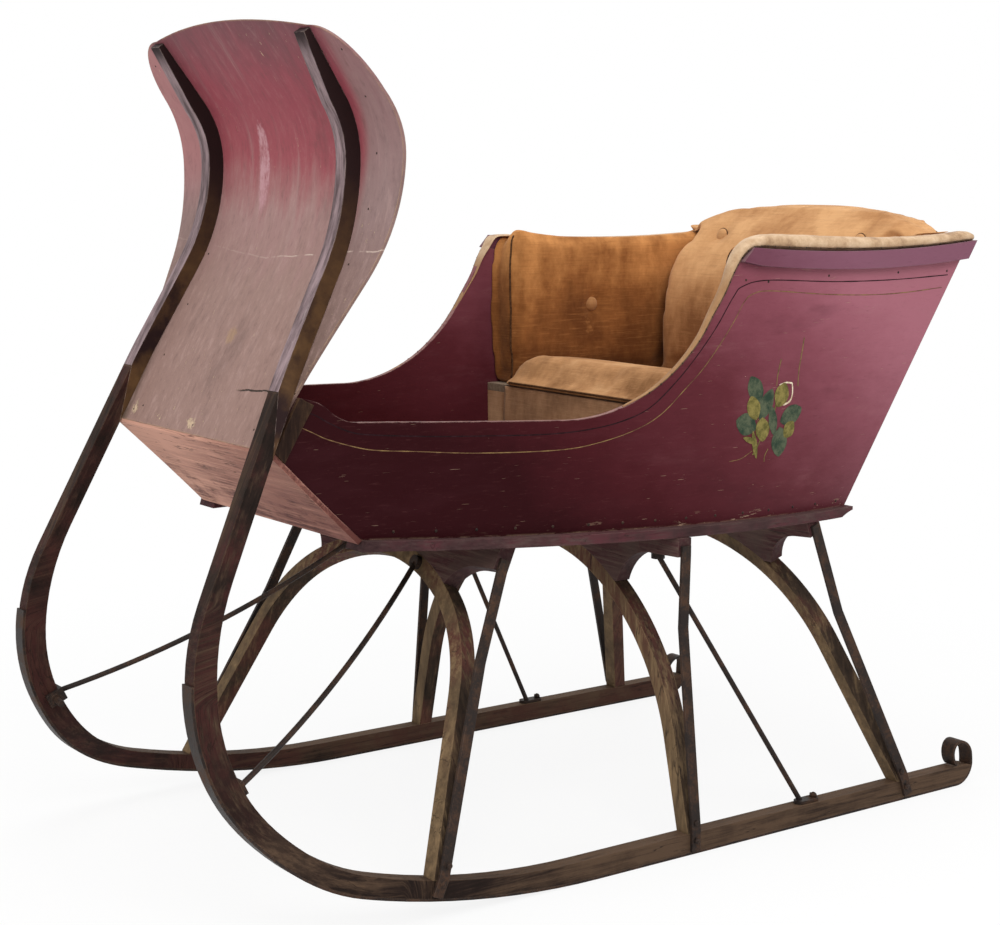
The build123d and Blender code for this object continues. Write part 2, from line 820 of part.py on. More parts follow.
def collar(origin, axis, thickness=collar_thickness, radius=collar_radius):
    """A flat round boss standing on a face."""
    with BuildPart() as boss:
        with BuildSketch(Plane(origin=origin, z_dir=axis)):
            Circle(radius)
        extrude(amount=thickness)
    return boss.part


# the front brace stands on an angle clip at the runner's bend; the clip's side leg carries a stud
clip_turn = radians(25.8)  # below the level of the nose
clip_half = 14
clip_thickness = 8
clip_reach = 30  # the side leg's length along the runner's inner side
clip_out = Vector(-cos(clip_turn), 0, sin(clip_turn))
clip_x = upper_nose_x - upper_nose_radius * (1 - cos(clip_turn))
clip_z = nose_z - upper_nose_radius * sin(clip_turn)
runner_side_y = gathered_y - (clip_z - gathered_z) * tan(gather_tilt)
clip_y = runner_side_y - bar_width / 2 / cos(gather_tilt)
clip_seat = Vector(clip_x, clip_y, clip_z)
clip_plane = Plane(origin=clip_seat, x_dir=(0, -1, 0), z_dir=clip_out)
leg_inner = bar_width / 2 + clip_thickness + 2
brace_low = clip_seat + clip_out * (clip_thickness / 2)
shoulder_seat = front_face.from_local_coords((130, 551, 0))
brace_high = shoulder_seat + front_face.z_dir * (collar_thickness / 2)
front_sag = Vector(-8, 0, -24)
stud_axis = Vector(0, -cos(gather_tilt), -sin(gather_tilt))
stud_seat = clip_plane.from_local_coords((leg_inner - 3, 0, -clip_reach / 2))
stud_foot = stud_seat + stud_axis * (clip_thickness + stud_neck)
with BuildPart() as brace_front:
    add(rod(brace_low, (brace_low + brace_high) * 0.5 + front_sag, brace_high))
    with BuildSketch(clip_plane):
        with Locations(((leg_inner - clip_half) / 2, 0)):
            Rectangle(leg_inner + clip_half, 2 * clip_half)
    extrude(amount=clip_thickness)
    with BuildSketch(clip_plane):
        with Locations((leg_inner - clip_thickness / 2 - 1, 0)):
            Rectangle(clip_thickness + 2, 2 * clip_half)
    extrude(amount=-clip_reach)
    add(runner.part, mode=Mode.SUBTRACT)
    add(collar(stud_seat, stud_axis, clip_thickness, clip_half - 2))
    add(collar(stud_seat, stud_axis, clip_thickness + stud_neck, stud_radius - stud_neck))
    add(collar(stud_foot, stud_axis, stud_length, stud_radius))
    add(collar(shoulder_seat, front_face.z_dir))
keep_both("brace_front", brace_front.part)

# the rear brace runs from under the middle bolster's end down to a foot on the runner
middle_x, middle_lip_z = knees[1][1], knees[1][8]
bolster_under = Vector(middle_x - knee_bar / 2, 387, middle_lip_z - 4)
foot_length = 62
foot_width = 26
foot_seat = Vector(-425, half_gauge - bar_width / 2, runner_top_z)
rear_high = bolster_under + Vector(0, 0, -collar_thickness / 2)
rear_low = foot_seat + Vector(foot_length / 2 - 18, -4, strap_thickness / 2)
rear_run = rear_low - rear_high
with BuildPart() as brace_rear:
    add(collar(rear_high, rear_run.normalized(), rear_run.length, rod_radius))
    add(collar(bolster_under, (0, 0, -1)))
    with BuildSketch(Plane.XY.offset(runner_top_z)):
        with Locations((foot_seat.X, foot_seat.Y)):
            SlotOverall(foot_length, foot_width)
    extrude(amount=strap_thickness)
    with BuildSketch(Plane.XY.offset(runner_top_z)):
        with Locations((foot_seat.X, foot_seat.Y)):
            Rectangle(2 * foot_length, 2 * foot_length)
    extrude(amount=-foot_length, mode=Mode.SUBTRACT)
keep_both("brace_rear", brace_rear.part)

os.makedirs("parts", exist_ok=True)
for label, part in pieces.items():
    part.label = label
    export_step(part, f"parts/{label}.step")
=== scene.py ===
"""Looks of the light horse-drawn sleigh: paint, wood, iron, upholstery, ornament and hardware.

Everything is in metres in the CAD frame: +X forward, +Y to the sleigh's left, +Z up.
"""

import math

import bmesh
import bpy
from mathutils import Matrix, Vector, noise
from mathutils.bvhtree import BVHTree


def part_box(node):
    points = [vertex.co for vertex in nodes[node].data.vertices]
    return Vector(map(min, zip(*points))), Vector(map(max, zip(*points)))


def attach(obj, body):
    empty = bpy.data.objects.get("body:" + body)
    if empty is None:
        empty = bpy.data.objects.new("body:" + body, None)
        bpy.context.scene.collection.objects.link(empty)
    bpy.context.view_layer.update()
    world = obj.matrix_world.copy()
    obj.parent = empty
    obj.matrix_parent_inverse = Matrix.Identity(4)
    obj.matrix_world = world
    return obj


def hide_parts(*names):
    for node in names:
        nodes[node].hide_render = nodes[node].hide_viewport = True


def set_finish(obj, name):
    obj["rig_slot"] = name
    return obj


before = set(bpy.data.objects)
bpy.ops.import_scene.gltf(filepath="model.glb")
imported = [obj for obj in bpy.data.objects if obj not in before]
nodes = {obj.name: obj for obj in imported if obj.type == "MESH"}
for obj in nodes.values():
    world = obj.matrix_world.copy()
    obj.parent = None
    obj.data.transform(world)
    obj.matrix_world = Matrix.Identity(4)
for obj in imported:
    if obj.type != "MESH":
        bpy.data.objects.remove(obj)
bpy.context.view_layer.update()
scene = bpy.context.scene

FORWARD = Vector((1.0, 0.0, 0.0))
LEFT = Vector((0.0, 1.0, 0.0))
UP = Vector((0.0, 0.0, 1.0))


def placed(name, data):
    """A new object in the scene."""
    made = bpy.data.objects.new(name, data)
    scene.collection.objects.link(made)
    return made


def change(thing, **settings):
    """Set several attributes."""
    for key, value in settings.items():
        setattr(thing, key, value)


# ---------------- camera, floor and light
CAMERA_PLACE = Vector((2.4761, 3.4449, 1.375))
CAMERA_LOOK = Vector((-0.5743, -0.8055, -0.1462)).normalized()
CAMERA_RIGHT = Vector((-0.8143, 0.5805, 0)).normalized()
CAMERA_LENS = 71.91
FLOOR_HALF, FLOOR_Z = 40, -0.001
AMBIENT = 0.55

camera_data = bpy.data.cameras.new("view")
camera_data.sensor_width = 36
camera_data.lens = CAMERA_LENS
camera = placed("view", camera_data)
camera_up = CAMERA_RIGHT.cross(CAMERA_LOOK).normalized()
columns = (CAMERA_RIGHT, camera_up, -CAMERA_LOOK, CAMERA_PLACE)
rows = [[c[row] for c in columns] for row in range(3)]
camera.matrix_world = Matrix((*rows, (0, 0, 0, 1)))
scene.camera = camera
scene.view_settings.view_transform = "Standard"


def add(tree, kind, inputs=(), **settings):
    """A shader node; inputs are (socket, value) pairs."""
    node = tree.nodes.new(f"ShaderNode{kind}")
    change(node, **settings)
    for key, value in inputs:
        put(tree, value, node.inputs[key])
    return node


def put(tree, value, socket):
    """Link or set a socket."""
    if isinstance(value, bpy.types.NodeSocket):
        tree.links.new(value, socket)
    elif isinstance(value, tuple) and len(value) == 3 and socket.type == "RGBA":
        socket.default_value = (*value, 1)
    else:
        socket.default_value = value


def see_pale(tree, shader, share):
    """Mix a white glow into what the camera and glossy rays see of a backdrop."""
    rays = add(tree, "LightPath").outputs
    sockets = ((0, rays["Is Camera Ray"]), (1, rays["Is Glossy Ray"]))
    seen = add(tree, "Math", sockets, operation="MAXIMUM").outputs[0]
    part = add(tree, "Math", ((0, seen), (1, share)), operation="MULTIPLY").outputs[0]
    glow = add(tree, "Emission").outputs[0]
    return add(tree, "MixShader", ((0, part), (1, shader), (2, glow))).outputs[0]


world = bpy.data.worlds.new("studio")
scene.world = world
world.use_nodes = True
sky = world.node_tree
ambient = sky.nodes["Background"]
put(sky, (1, 1, 1), ambient.inputs["Color"])
put(sky, AMBIENT, ambient.inputs["Strength"])
put(sky, see_pale(sky, ambient.outputs[0], 1), sky.nodes["World Output"].inputs["Surface"])

floor_mesh = bpy.data.meshes.new("floor")
signs = ((-1, -1), (1, -1), (1, 1), (-1, 1))
corners = [(x * FLOOR_HALF, y * FLOOR_HALF, FLOOR_Z) for x, y in signs]
floor_mesh.from_pydata(corners, [], [(0, 1, 2, 3)])
floor = placed("floor", floor_mesh)
floor_paint = bpy.data.materials.new("floor")
floor_paint.use_nodes = True
ground = floor_paint.node_tree
floor_shader = ground.nodes["Principled BSDF"]
put(ground, (0.86, 0.86, 0.855), floor_shader.inputs["Base Color"])
put(ground, 0.7, floor_shader.inputs["Roughness"])
# the floor turns into the white backdrop away from the sleigh
floor_place = add(ground, "TexCoord").outputs["Object"]
reach = add(ground, "VectorMath", ((0, floor_place),), operation="LENGTH").outputs["Value"]
limits = (("Value", reach), ("From Min", 0.9), ("From Max", 2.6), ("To Min", 0.86), ("To Max", 1))
fade = add(ground, "MapRange", limits, interpolation_type="SMOOTHSTEP").outputs["Result"]
pale_floor = see_pale(ground, floor_shader.outputs[0], fade)
put(ground, pale_floor, ground.nodes["Material Output"].inputs["Surface"])
floor_mesh.materials.append(floor_paint)

# columns: name, place, what it points at, size, power
lamps = (
    ("key", (1.6, 3.6, 3.6), (-0.1, 0, 0.9), 2.6, 105),
    ("front", (4.2, 0.6, 2.6), (0.3, 0, 0.9), 2.4, 55),
    ("rear", (-3.4, 2.2, 3), (-0.6, 0, 0.8), 2.4, 50),
    ("top", (-0.2, -0.4, 4.2), (0, 0, 0), 3, 60),
)
for name, place, aim, size, power in lamps:
    light = bpy.data.lights.new(name, "AREA")
    change(light, size=size, energy=power)
    lamp = placed(name, light)
    lamp.location = place
    lamp.rotation_euler = (Vector(aim) - Vector(place)).to_track_quat("-Z", "Y").to_euler()


# ---------------- materials
class Finish:
    """One node material, built up step by step from the object's own coordinates."""

    def __init__(self, name):
        self.material = bpy.data.materials.new(name)
        self.material.use_nodes = True
        self.tree = self.material.node_tree
        self.shader = self.tree.nodes["Principled BSDF"]
        self.place = self.add("TexCoord").outputs["Object"]
        self.x, self.y, self.z = self.parts(self.place)
        self.side = self.abs(self.y)
        self.normal = self.add("NewGeometry").outputs["Normal"]
        self.nx, self.ny, self.nz = self.parts(self.normal)

    def add(self, kind, inputs=(), **settings):
        return add(self.tree, kind, inputs, **settings)

    def put(self, value, socket):
        put(self.tree, value, self.shader.inputs[socket])

    def parts(self, vector):
        return self.add("SeparateXYZ", ((0, vector),)).outputs

    def math(self, operation, a, b=0):
        return self.add("Math", ((0, a), (1, b)), operation=operation).outputs[0]

    def times(self, a, *others):
        for b in others:
            a = self.math("MULTIPLY", a, b)
        return a

    def most(self, a, *others):
        for b in others:
            a = self.math("MAXIMUM", a, b)
        return a

    def plus(self, a, b):
        return self.math("ADD", a, b)

    def less(self, a, b):
        return self.math("SUBTRACT", a, b)

    def abs(self, a):
        return self.math("ABSOLUTE", a)

    def sum(self, *terms):
        """Weighted sum; each term is (weight, value)."""
        total = None
        for weight, value in terms:
            term = self.times(value, weight)
            total = term if total is None else self.plus(total, term)
        return total

    def step(self, value, low, high):
        """0 below low, 1 above high, smooth between; low may be above high."""
        limits = [("From Min", low), ("From Max", high)]
        if low > high:
            limits = [("From Min", high), ("From Max", low), ("To Min", 1), ("To Max", 0)]
        sockets = [("Value", value), *limits]
        return self.add("MapRange", sockets, interpolation_type="SMOOTHSTEP").outputs["Result"]

    def near(self, value, centre, inner, outer):
        """1 within inner of a centre value, 0 beyond outer."""
        return self.step(self.abs(self.less(value, centre)), outer, inner)

    def noise(self, scale, stretch=(1, 1, 1), detail=5, rough=0.6, shift=0, place=None):
        moved = (shift, 1.7 * shift, 2.3 * shift)
        place = self.place if place is None else place
        mapped = self.mapping(place, stretch, moved)
        sockets = (("Vector", mapped), ("Scale", scale), ("Detail", detail), ("Roughness", rough))
        return self.add("TexNoise", sockets).outputs["Fac"]

    def mapping(self, place, stretch, moved):
        sockets = (("Vector", place), ("Scale", stretch), ("Location", moved))
        return self.add("Mapping", sockets).outputs[0]

    def mix(self, factor, a, b, share=1, blend_type="MIX"):
        """Colour a where the factor is 0, colour b where it is 1; share weakens the factor."""
        if share != 1:
            factor = self.times(factor, share)
        sockets = ((0, factor), (6, a), (7, b))
        return self.add("Mix", sockets, data_type="RGBA", blend_type=blend_type).outputs[2]

    def coat(self, where, colour, share=1):
        """Lay a colour over the finish so far."""
        self.colour = self.mix(where, self.colour, colour, share)

    def blend(self, factor, a, b):
        """The same for plain values."""
        return self.add("Mix", ((0, factor), (2, a), (3, b)), data_type="FLOAT").outputs[0]

    def ramp(self, value, *stops):
        """Colour ramp; each stop is (position, colour)."""
        node = self.add("ValToRGB", ((0, value),))
        elements = node.color_ramp.elements
        elements[0].position, elements[0].color = stops[0][0], (*stops[0][1], 1)
        elements[1].position, elements[1].color = stops[-1][0], (*stops[-1][1], 1)
        for position, colour in stops[1:-1]:
            elements.new(position).color = (*colour, 1)
        return node.outputs[0]

    def spot(self, centre, radius, wobble=0, stretch=(1, 1, 1)):
        """1 inside an uneven blotch round a point, 0 outside."""
        away = self.mapping(self.place, stretch, tuple(-c * s for c, s in zip(centre, stretch)))
        length = self.add("VectorMath", ((0, away),), operation="LENGTH").outputs["Value"]
        ragged = self.sum((1, length), (wobble, self.noise(160, detail=3)))
        edge = radius + 0.5 * wobble
        return self.step(ragged, edge, 0.72 * edge)

    def soften(self, radius):
        """A rounded normal, so that edges catch light."""
        return self.add("Bevel", (("Radius", radius),), samples=4).outputs[0]

    def edges(self, radius, low=0.82, high=0.97):
        """1 along sharp edges, from how a rounded normal differs from the flat one."""
        sockets = ((0, self.soften(radius)), (1, self.normal))
        dot = self.add("VectorMath", sockets, operation="DOT_PRODUCT")
        return self.step(dot.outputs["Value"], high, low)

    def done(self, roughness, height, depth, soft=None):
        """The material; soft is a radius that rounds its edges."""
        self.put(self.colour, "Base Color")
        self.put(roughness, "Roughness")
        self.put(GLOSS, "Specular IOR Level")
        sockets = [("Strength", 0.8), ("Distance", depth), ("Height", height)]
        if soft:
            sockets.append(("Normal", self.soften(soft)))
        self.put(self.add("Bump", sockets).outputs[0], "Normal")
        return self.material


GLOSS = 0.06  # low, so that the white backdrop doesn't haze the dark paint
JOINT_HEIGHT = 1.194  # of the dash's boards
SPLIT_HEIGHT = 0.9498
NOSE_X, NOSE_Z = 0.563, 0.44  # the centre of the runner's bend
# grain noise is stretched along the grain
STRETCHES = {
    "bend": (0.045, 1, 1),
    "x": (0.05, 1, 1),
    "y": (1, 0.05, 1),
    "up": (1, 0.5, 0.09),
}


def scaled(colour, factor):
    return tuple(min(1, factor * c) for c in colour)


def body_paint(name, tint=(1, 1, 1)):
    """Old maroon paint: chalky mauve at the rear, with a painted highlight at its palest, rear top
    end; nearly black at the front and bottom.
    """
    f = Finish(name)
    cloud = f.noise(2.2, detail=6, rough=0.65)
    fine = f.noise(14, (1, 1, 3), 6, 0.7)
    # the ramp's palest end, reached at the rear top, is a painted highlight; it darkens towards the
    # front and the bottom
    depth = f.sum((0.78, f.x), (-1.05, f.z), (0.38, cloud), (0.16, fine))
    depth = f.plus(f.times(depth, 0.9), 1.3)
    f.colour = f.ramp(
        depth,
        (0, (0.33, 0.118, 0.152)), (0.28, (0.2, 0.056, 0.076)),
        (0.56, (0.094, 0.018, 0.025)), (0.82, (0.048, 0.0062, 0.009)),
        (1, (0.022, 0.002, 0.0034)),
    )
    chalk = f.step(f.noise(5, (1, 1, 5), 7, 0.72, 3), 0.5, 0.8)
    chalk_share = f.times(chalk, f.sum((0.24, f.step(depth, 0.85, 0.25)), (1, 0.02)))
    f.coat(chalk_share, (0.33, 0.16, 0.17))
    scuff = f.noise(34, (1, 1, 7), 7, 0.75, 7)
    f.coat(f.step(scuff, 0.55, 0.75), (0.3, 0.12, 0.11), 0.11)
    f.coat(f.step(scuff, 0.45, 0.28), (0.03, 0.006, 0.008), 0.22)
    stain = f.step(f.noise(3.2, (0.7, 1, 2.2), 5, shift=6), 0.56, 0.74)
    f.coat(stain, (0.04, 0.008, 0.011), 0.38)
    # chips along the bottom edge, more towards the rear
    height = f.sum((1, f.z), (-0.035, f.x))
    low_edge = f.step(height, 0.7, 0.662)
    rear_share = f.step(f.x, 0.45, -0.35)
    chip_noise = f.noise(70, (0.22, 1, 1.3), 6, 0.75, 1)
    chips = f.times(low_edge, rear_share, f.step(chip_noise, 0.6, 0.63))
    foot = f.times(f.step(height, 0.672, 0.662), f.step(chip_noise, 0.46, 0.52))
    chips = f.most(chips, f.times(foot, 0.6))
    tiny = f.noise(190, (0.4, 1, 1), 3, 0.6, 8)
    specks = f.times(f.step(tiny, 0.755, 0.77), f.step(cloud, 0.45, 0.6))
    scratch = f.noise(22, (1, 1, 26), 2, 0.5, 4)
    scratch = f.times(f.step(scratch, 0.735, 0.76), 0.45)
    worn = f.most(chips, specks, scratch)
    rim = f.edges(0.004, 0.8)
    rim_noise = f.noise(36, detail=6, rough=0.75, shift=2)
    top_edge = f.times(f.step(f.nz, 0.35, 0.7), f.step(rim_noise, 0.3, 0.55))
    rim = f.most(f.times(rim, f.step(rim_noise, 0.4, 0.62)), top_edge)
    wood = f.mix(f.noise(60, (0.2, 1, 1)), (0.34, 0.2, 0.12), (0.62, 0.45, 0.32))
    f.coat(rim, (0.36, 0.21, 0.185), 0.7)
    f.coat(worn, wood)
    f.colour = f.mix(1, f.colour, tint, blend_type="MULTIPLY")
    grain = f.noise(30, (0.12, 1, 1), 6, 0.7, 5)
    relief = f.sum((0.5, grain), (0.25, fine), (-1.2, worn), (-0.35, rim))
    gloss = f.sum((0.3, chalk), (0.22, worn), (0.14, fine))
    return f.done(f.plus(gloss, 0.4), relief, 0.0012, 0.0022)


def dash_paint():
    """Red paint at the top of the dash that fades down to worn brown-grey boards."""
    f = Finish("dash_paint")
    cloud = f.noise(3, detail=6, rough=0.62)
    streak = f.noise(9, (0.25, 3.2, 0.25), 7, 0.7)
    level = f.less(f.sum((1, f.z), (0.16, cloud), (0.2, streak)), 1.03)
    centre = f.ramp(
        level,
        (0, (0.265, 0.165, 0.138)), (0.28, (0.285, 0.18, 0.155)),
        (0.42, (0.33, 0.195, 0.182)), (0.54, (0.295, 0.074, 0.088)),
        (0.66, (0.27, 0.06, 0.078)), (0.8, (0.16, 0.06, 0.07)),
        (1, (0.145, 0.062, 0.07)),
    )
    wing = f.ramp(
        level,
        (0, (0.13, 0.088, 0.066)), (0.34, (0.235, 0.152, 0.136)),
        (0.46, (0.265, 0.176, 0.168)), (0.75, (0.235, 0.112, 0.116)),
        (1, (0.15, 0.06, 0.066)),
    )
    rail_y = f.less(f.side, f.times(f.step(f.z, 1.15, 1.7), 0.06))
    far_wing = f.mix(f.step(f.z, 1.25, 1.42), wing, (0.37, 0.165, 0.165))
    wing = f.mix(f.step(f.y, 0, -0.1), wing, far_wing)
    f.colour = f.mix(f.step(rail_y, 0.262, 0.3), centre, wing)
    mottle = f.noise(42, (0.6, 1.4, 0.6), 8, 0.78, 11)
    pale_share = f.sum((0.22, f.step(level, 0.55, 0.4)), (1, 0.12))
    f.coat(f.times(f.step(mottle, 0.5, 0.68), pale_share), (0.47, 0.32, 0.29))
    f.coat(f.step(mottle, 0.49, 0.32), (0.1, 0.055, 0.052), 0.34)
    pale = f.step(f.noise(6, (0.2, 5.5, 0.3), 8, 0.75, 2), 0.53, 0.8)
    f.coat(pale, (0.4, 0.29, 0.27), 0.5)
    dark = f.step(f.noise(4.4, (0.4, 1.6, 0.8), 6, 0.7, 5), 0.55, 0.74)
    f.coat(dark, (0.085, 0.052, 0.048), 0.35)
    smear = f.spot((0.541, -0.075, 1.375), 0.024, 0.012, (1, 1, 0.22))
    f.coat(f.times(smear, f.step(mottle, 0.34, 0.6)), (0.47, 0.26, 0.28))
    amber = f.spot((0.664, 0.002, 1.056), 0.022, 0.03)
    amber = f.most(amber, f.spot((0.62, -0.03, 1.15), 0.012, 0.02))
    f.coat(f.times(amber, mottle), (0.42, 0.27, 0.1), 0.55)
    # the joint between the bent upper boards and the straight lower ones
    wander = f.times(f.noise(16, shift=3), 0.012)
    joint = f.sum((1, f.z), (-0.07, f.side), (-1, wander))
    gaps = f.step(f.noise(24, (1, 1, 0.1), shift=7), 0.4, 0.55)
    line = f.times(f.near(joint, JOINT_HEIGHT, 0.0006, 0.002), gaps)
    nicks = f.noise(120, (0.5, 1.2, 0.5), 4, 0.7, 9)
    chips = f.times(f.step(nicks, 0.655, 0.68), f.step(cloud, 0.42, 0.58))
    for centre_point, radius, stretch in (
        ((0.745, -0.01, 0.886), 0.012, (1, 0.62, 1)),
        ((0.743, -0.262, 0.893), 0.013, (1, 1, 0.75)),
        ((0.742, -0.15, 0.883), 0.005, (1, 0.3, 1)),
    ):
        chips = f.most(chips, f.spot(centre_point, radius, 0.035, stretch))
    hollow = f.spot((0.744, 0, 0.884), 0.0035, 0.004)
    hollow = f.most(hollow, f.spot((0.743, -0.266, 0.89), 0.003, 0.004))
    # a split beside the left rail, level with the top of the runner
    split_line = f.sum((1, f.z), (-0.055, f.y), (-0.01, f.noise(30, shift=13)))
    split = f.near(split_line, SPLIT_HEIGHT, 0.0008, 0.002)
    split = f.times(split, f.step(f.y, 0.105, 0.14), f.step(f.nx, 0.1, 0.3))
    hollow = f.most(hollow, split)
    rim = f.edges(0.005)
    rim = f.times(rim, f.step(f.noise(30, detail=6, rough=0.75, shift=1), 0.34, 0.55))
    f.coat(rim, (0.4, 0.26, 0.16), 0.8)
    line = f.times(line, f.sum((0.55, f.step(f.y, -0.1, 0.2)), (1, 0.15)))
    f.coat(line, (0.6, 0.47, 0.4))
    f.coat(chips, (0.56, 0.42, 0.28), 0.85)
    f.coat(hollow, (0.03, 0.02, 0.015))
    f.coat(f.step(f.nx, 0.05, -0.1), (0.085, 0.024, 0.03), 0.85)
    relief = f.sum((0.6, streak), (-1.2, chips), (-1.5, hollow), (-0.8, line), (-0.3, rim))
    gloss = f.sum((0.25, pale), (0.25, chips), (0.18, streak))
    return f.done(f.plus(gloss, 0.36), relief, 0.0012, 0.0018)


def rail_paint():
    """Black-brown rails, worn to grey-purple on the front face; its pale streaks and pale edges are
    partly wear, partly painted highlights.
    """
    f = Finish("rail_paint")
    front = f.times(f.step(f.abs(f.ny), 0.72, 0.55), f.step(f.z, 1.612, 1.56))
    flow = f.noise(16, (0.5, 3, 0.5), 7, 0.7)
    worn = f.mix(f.step(flow, 0.34, 0.68), (0.07, 0.046, 0.048), (0.31, 0.225, 0.236))
    # pale streaks on the front face: wear and painted highlight
    light = f.step(f.noise(30, (0.6, 2, 0.35), 6, 0.75, 3), 0.6, 0.74)
    worn = f.mix(light, worn, (0.46, 0.38, 0.37), 0.6)
    low = f.step(f.sum((1, f.z), (0.25, flow)), 1.52, 1.2)
    side = f.mix(
        f.times(low, f.step(f.noise(12, (0.6, 2, 0.5), shift=6), 0.4, 0.68)),
        (0.02, 0.01, 0.01),
        (0.115, 0.06, 0.026),
    )
    f.colour = f.mix(front, side, worn)
    # pale edges: wear and painted highlight along the rail's edges
    rim = f.times(f.edges(0.003), f.step(f.noise(40, shift=2), 0.42, 0.6))
    f.coat(rim, (0.33, 0.25, 0.22), 0.7)
    relief = f.sum((0.7, flow), (0.4, light), (-0.4, rim))
    return f.done(f.plus(f.times(flow, 0.3), 0.34), relief, 0.0011, 0.0022)


def grained(
    name, dark, mid, light, paint, along, faces, paint_low, paint_high, pale_behind=0, pale_far=0
):
    """Weathered wood: a grain direction, a pair of faces drawn paler (weathering and painted
    light), paint left between two heights.
    """
    f = Finish(name)
    place, stretch = f.place, STRETCHES[along]
    if along == "bend":
        # the grain follows the runner: level, then round the nose, then up the leaning neck
        from_x, from_z = f.less(f.x, NOSE_X), f.less(f.z, NOSE_Z)
        angle = f.times(f.math("ARCTAN2", from_z, from_x), 0.36)
        outward = f.math("SQRT", f.plus(f.times(from_x, from_x), f.times(from_z, from_z)))
        lean = f.sum((0.8988, f.x), (0.4384, f.z))
        ahead = f.step(f.x, 0.5, 0.6)
        across = f.blend(f.step(f.z, 0.44, 0.62), f.blend(ahead, f.z, outward), lean)
        run = f.blend(ahead, f.x, angle)
        place = f.add("CombineXYZ", ((0, run), (1, f.y), (2, across))).outputs[0]
    grain = f.noise(120, stretch, 7, 0.72, place=place)
    broad = f.noise(26, stretch, 5, 0.65, 3, place)
    mottle = f.noise(7, detail=6, rough=0.68, shift=5)
    tone = f.sum((0.46, grain), (0.3, broad), (0.34, mottle), (pale_behind, f.step(f.x, 0.5, 0.05)))
    if pale_far:
        farther, higher = f.step(f.y, 0.2, -0.3), f.step(f.z, 0.7, 0.88)
        tone = f.sum((1, tone), (pale_far, farther), (0.4 * pale_far, higher))
        tone = f.less(tone, 0.52 * pale_far)
    wood = f.ramp(tone, (0.4, dark), (0.54, mid), (0.7, light))
    # the faces that the faces argument names are drawn paler: partly weathering, partly painted
    # light on faces turned to the light
    pale = f.step(f.abs(f.nx), 0.45, 0.75) if faces == "x" else f.step(f.nz, 0.35, 0.7)
    pale_lit_wood = f.ramp(
        tone,
        (0.36, mid),
        (0.52, tuple(0.5 * (a + b) for a, b in zip(mid, light))),
        (0.68, scaled(light, 1.25)),
    )
    wood = f.mix(pale, wood, pale_lit_wood)
    patch = f.times(f.step(mottle, 0.4, 0.6), f.step(grain, 0.66, 0.42))
    patch = f.times(f.step(f.z, paint_low, paint_high), patch)
    # the faces that look inwards kept more of their red paint
    inward = f.step(f.times(f.ny, f.y), -0.1, -0.22)
    patch = f.most(patch, f.times(inward, f.step(mottle, 0.34, 0.62), 0.8))
    f.colour = f.mix(patch, wood, paint, 0.85)
    rim = f.times(f.edges(0.0035), f.step(mottle, 0.36, 0.56))
    f.coat(rim, scaled(light, 1.5), 0.6)
    crack = f.noise(70, stretch, 3, 0.5, 9, place)
    crack = f.times(f.near(crack, 0.5, 0.002, 0.014), f.step(mottle, 0.46, 0.6))
    f.coat(crack, (0.015, 0.01, 0.008), 0.7)
    relief = f.sum((0.8, grain), (0.5, broad), (-0.9, crack), (-0.3, rim))
    return f.done(f.plus(f.times(grain, 0.28), 0.48), relief, 0.0014, 0.003)


def iron_paint(name, tone=1):
    """Dark wrought iron with a skin of rust."""
    f = Finish(name)
    pitting = f.noise(240, detail=5, rough=0.7)
    blotch = f.noise(18, detail=6, rough=0.7, shift=2)
    rust = f.step(f.sum((0.65, blotch), (0.35, pitting)), 0.44, 0.64)
    base = scaled((0.026, 0.02, 0.018), tone)
    brown = scaled((0.088, 0.046, 0.028), tone)
    f.colour = f.mix(rust, base, brown, 0.8)
    grey = f.times(f.edges(0.0016), f.step(blotch, 0.42, 0.6))
    f.coat(grey, (0.16, 0.125, 0.105), 0.55)
    f.put(0.25, "Metallic")
    return f.done(f.plus(f.times(rust, 0.25), 0.42), pitting, 0.0007, 0.0012)


def velvet(name, low, mid, high, shade=0):
    """Faded cotton velvet: soft nap patches, worn pale patches, painted light towards the top and
    painted shade low down, fine pile.
    """
    f = Finish(name)
    nap = f.noise(5.5, detail=5, rough=0.62)
    brushed = f.noise(16, (1, 1, 0.5), 6, 0.7, 3)
    # painted light and shade: the velvet is drawn paler towards the top and darker low down in the
    # corner by the seat
    top_light_and_shade = f.less(f.step(f.z, 0.96, 1.2), 0.5)
    tone = f.sum((0.62, nap), (0.4, brushed), (shade, top_light_and_shade))
    f.colour = f.ramp(tone, (0.36, low), (0.51, mid), (0.68, high))
    sockets = (("Vector", f.place), ("Scale", 95), ("Distortion", 1.4), ("Detail", 2))
    lines = f.add("TexWave", sockets, wave_type="BANDS", bands_direction="Z")
    crush = f.step(f.noise(11, (1, 1, 1.6), 7, 0.75, 8), 0.6, 0.74)
    f.coat(crush, scaled(high, 1.12), 0.35)
    dust = f.step(f.noise(44, detail=5, rough=0.8, shift=6), 0.66, 0.76)
    f.coat(dust, scaled(low, 0.6), 0.25)
    pile = f.noise(900, detail=3, rough=0.6, shift=4)
    relief = f.sum((0.45, pile), (0.12, lines.outputs["Fac"]), (0.5, brushed))
    ribs = f.noise(60, (0.25, 0.25, 5), 5, 0.7, 12)
    f.coat(f.step(ribs, 0.5, 0.72), scaled(high, 1.2), 0.2)
    f.coat(f.step(ribs, 0.48, 0.3), scaled(low, 0.8), 0.2)
    f.put(0.12, "Sheen Weight")
    f.put(0.45, "Sheen Roughness")
    f.put((1, 0.86, 0.68), "Sheen Tint")
    return f.done(0.92, relief, 0.0009)


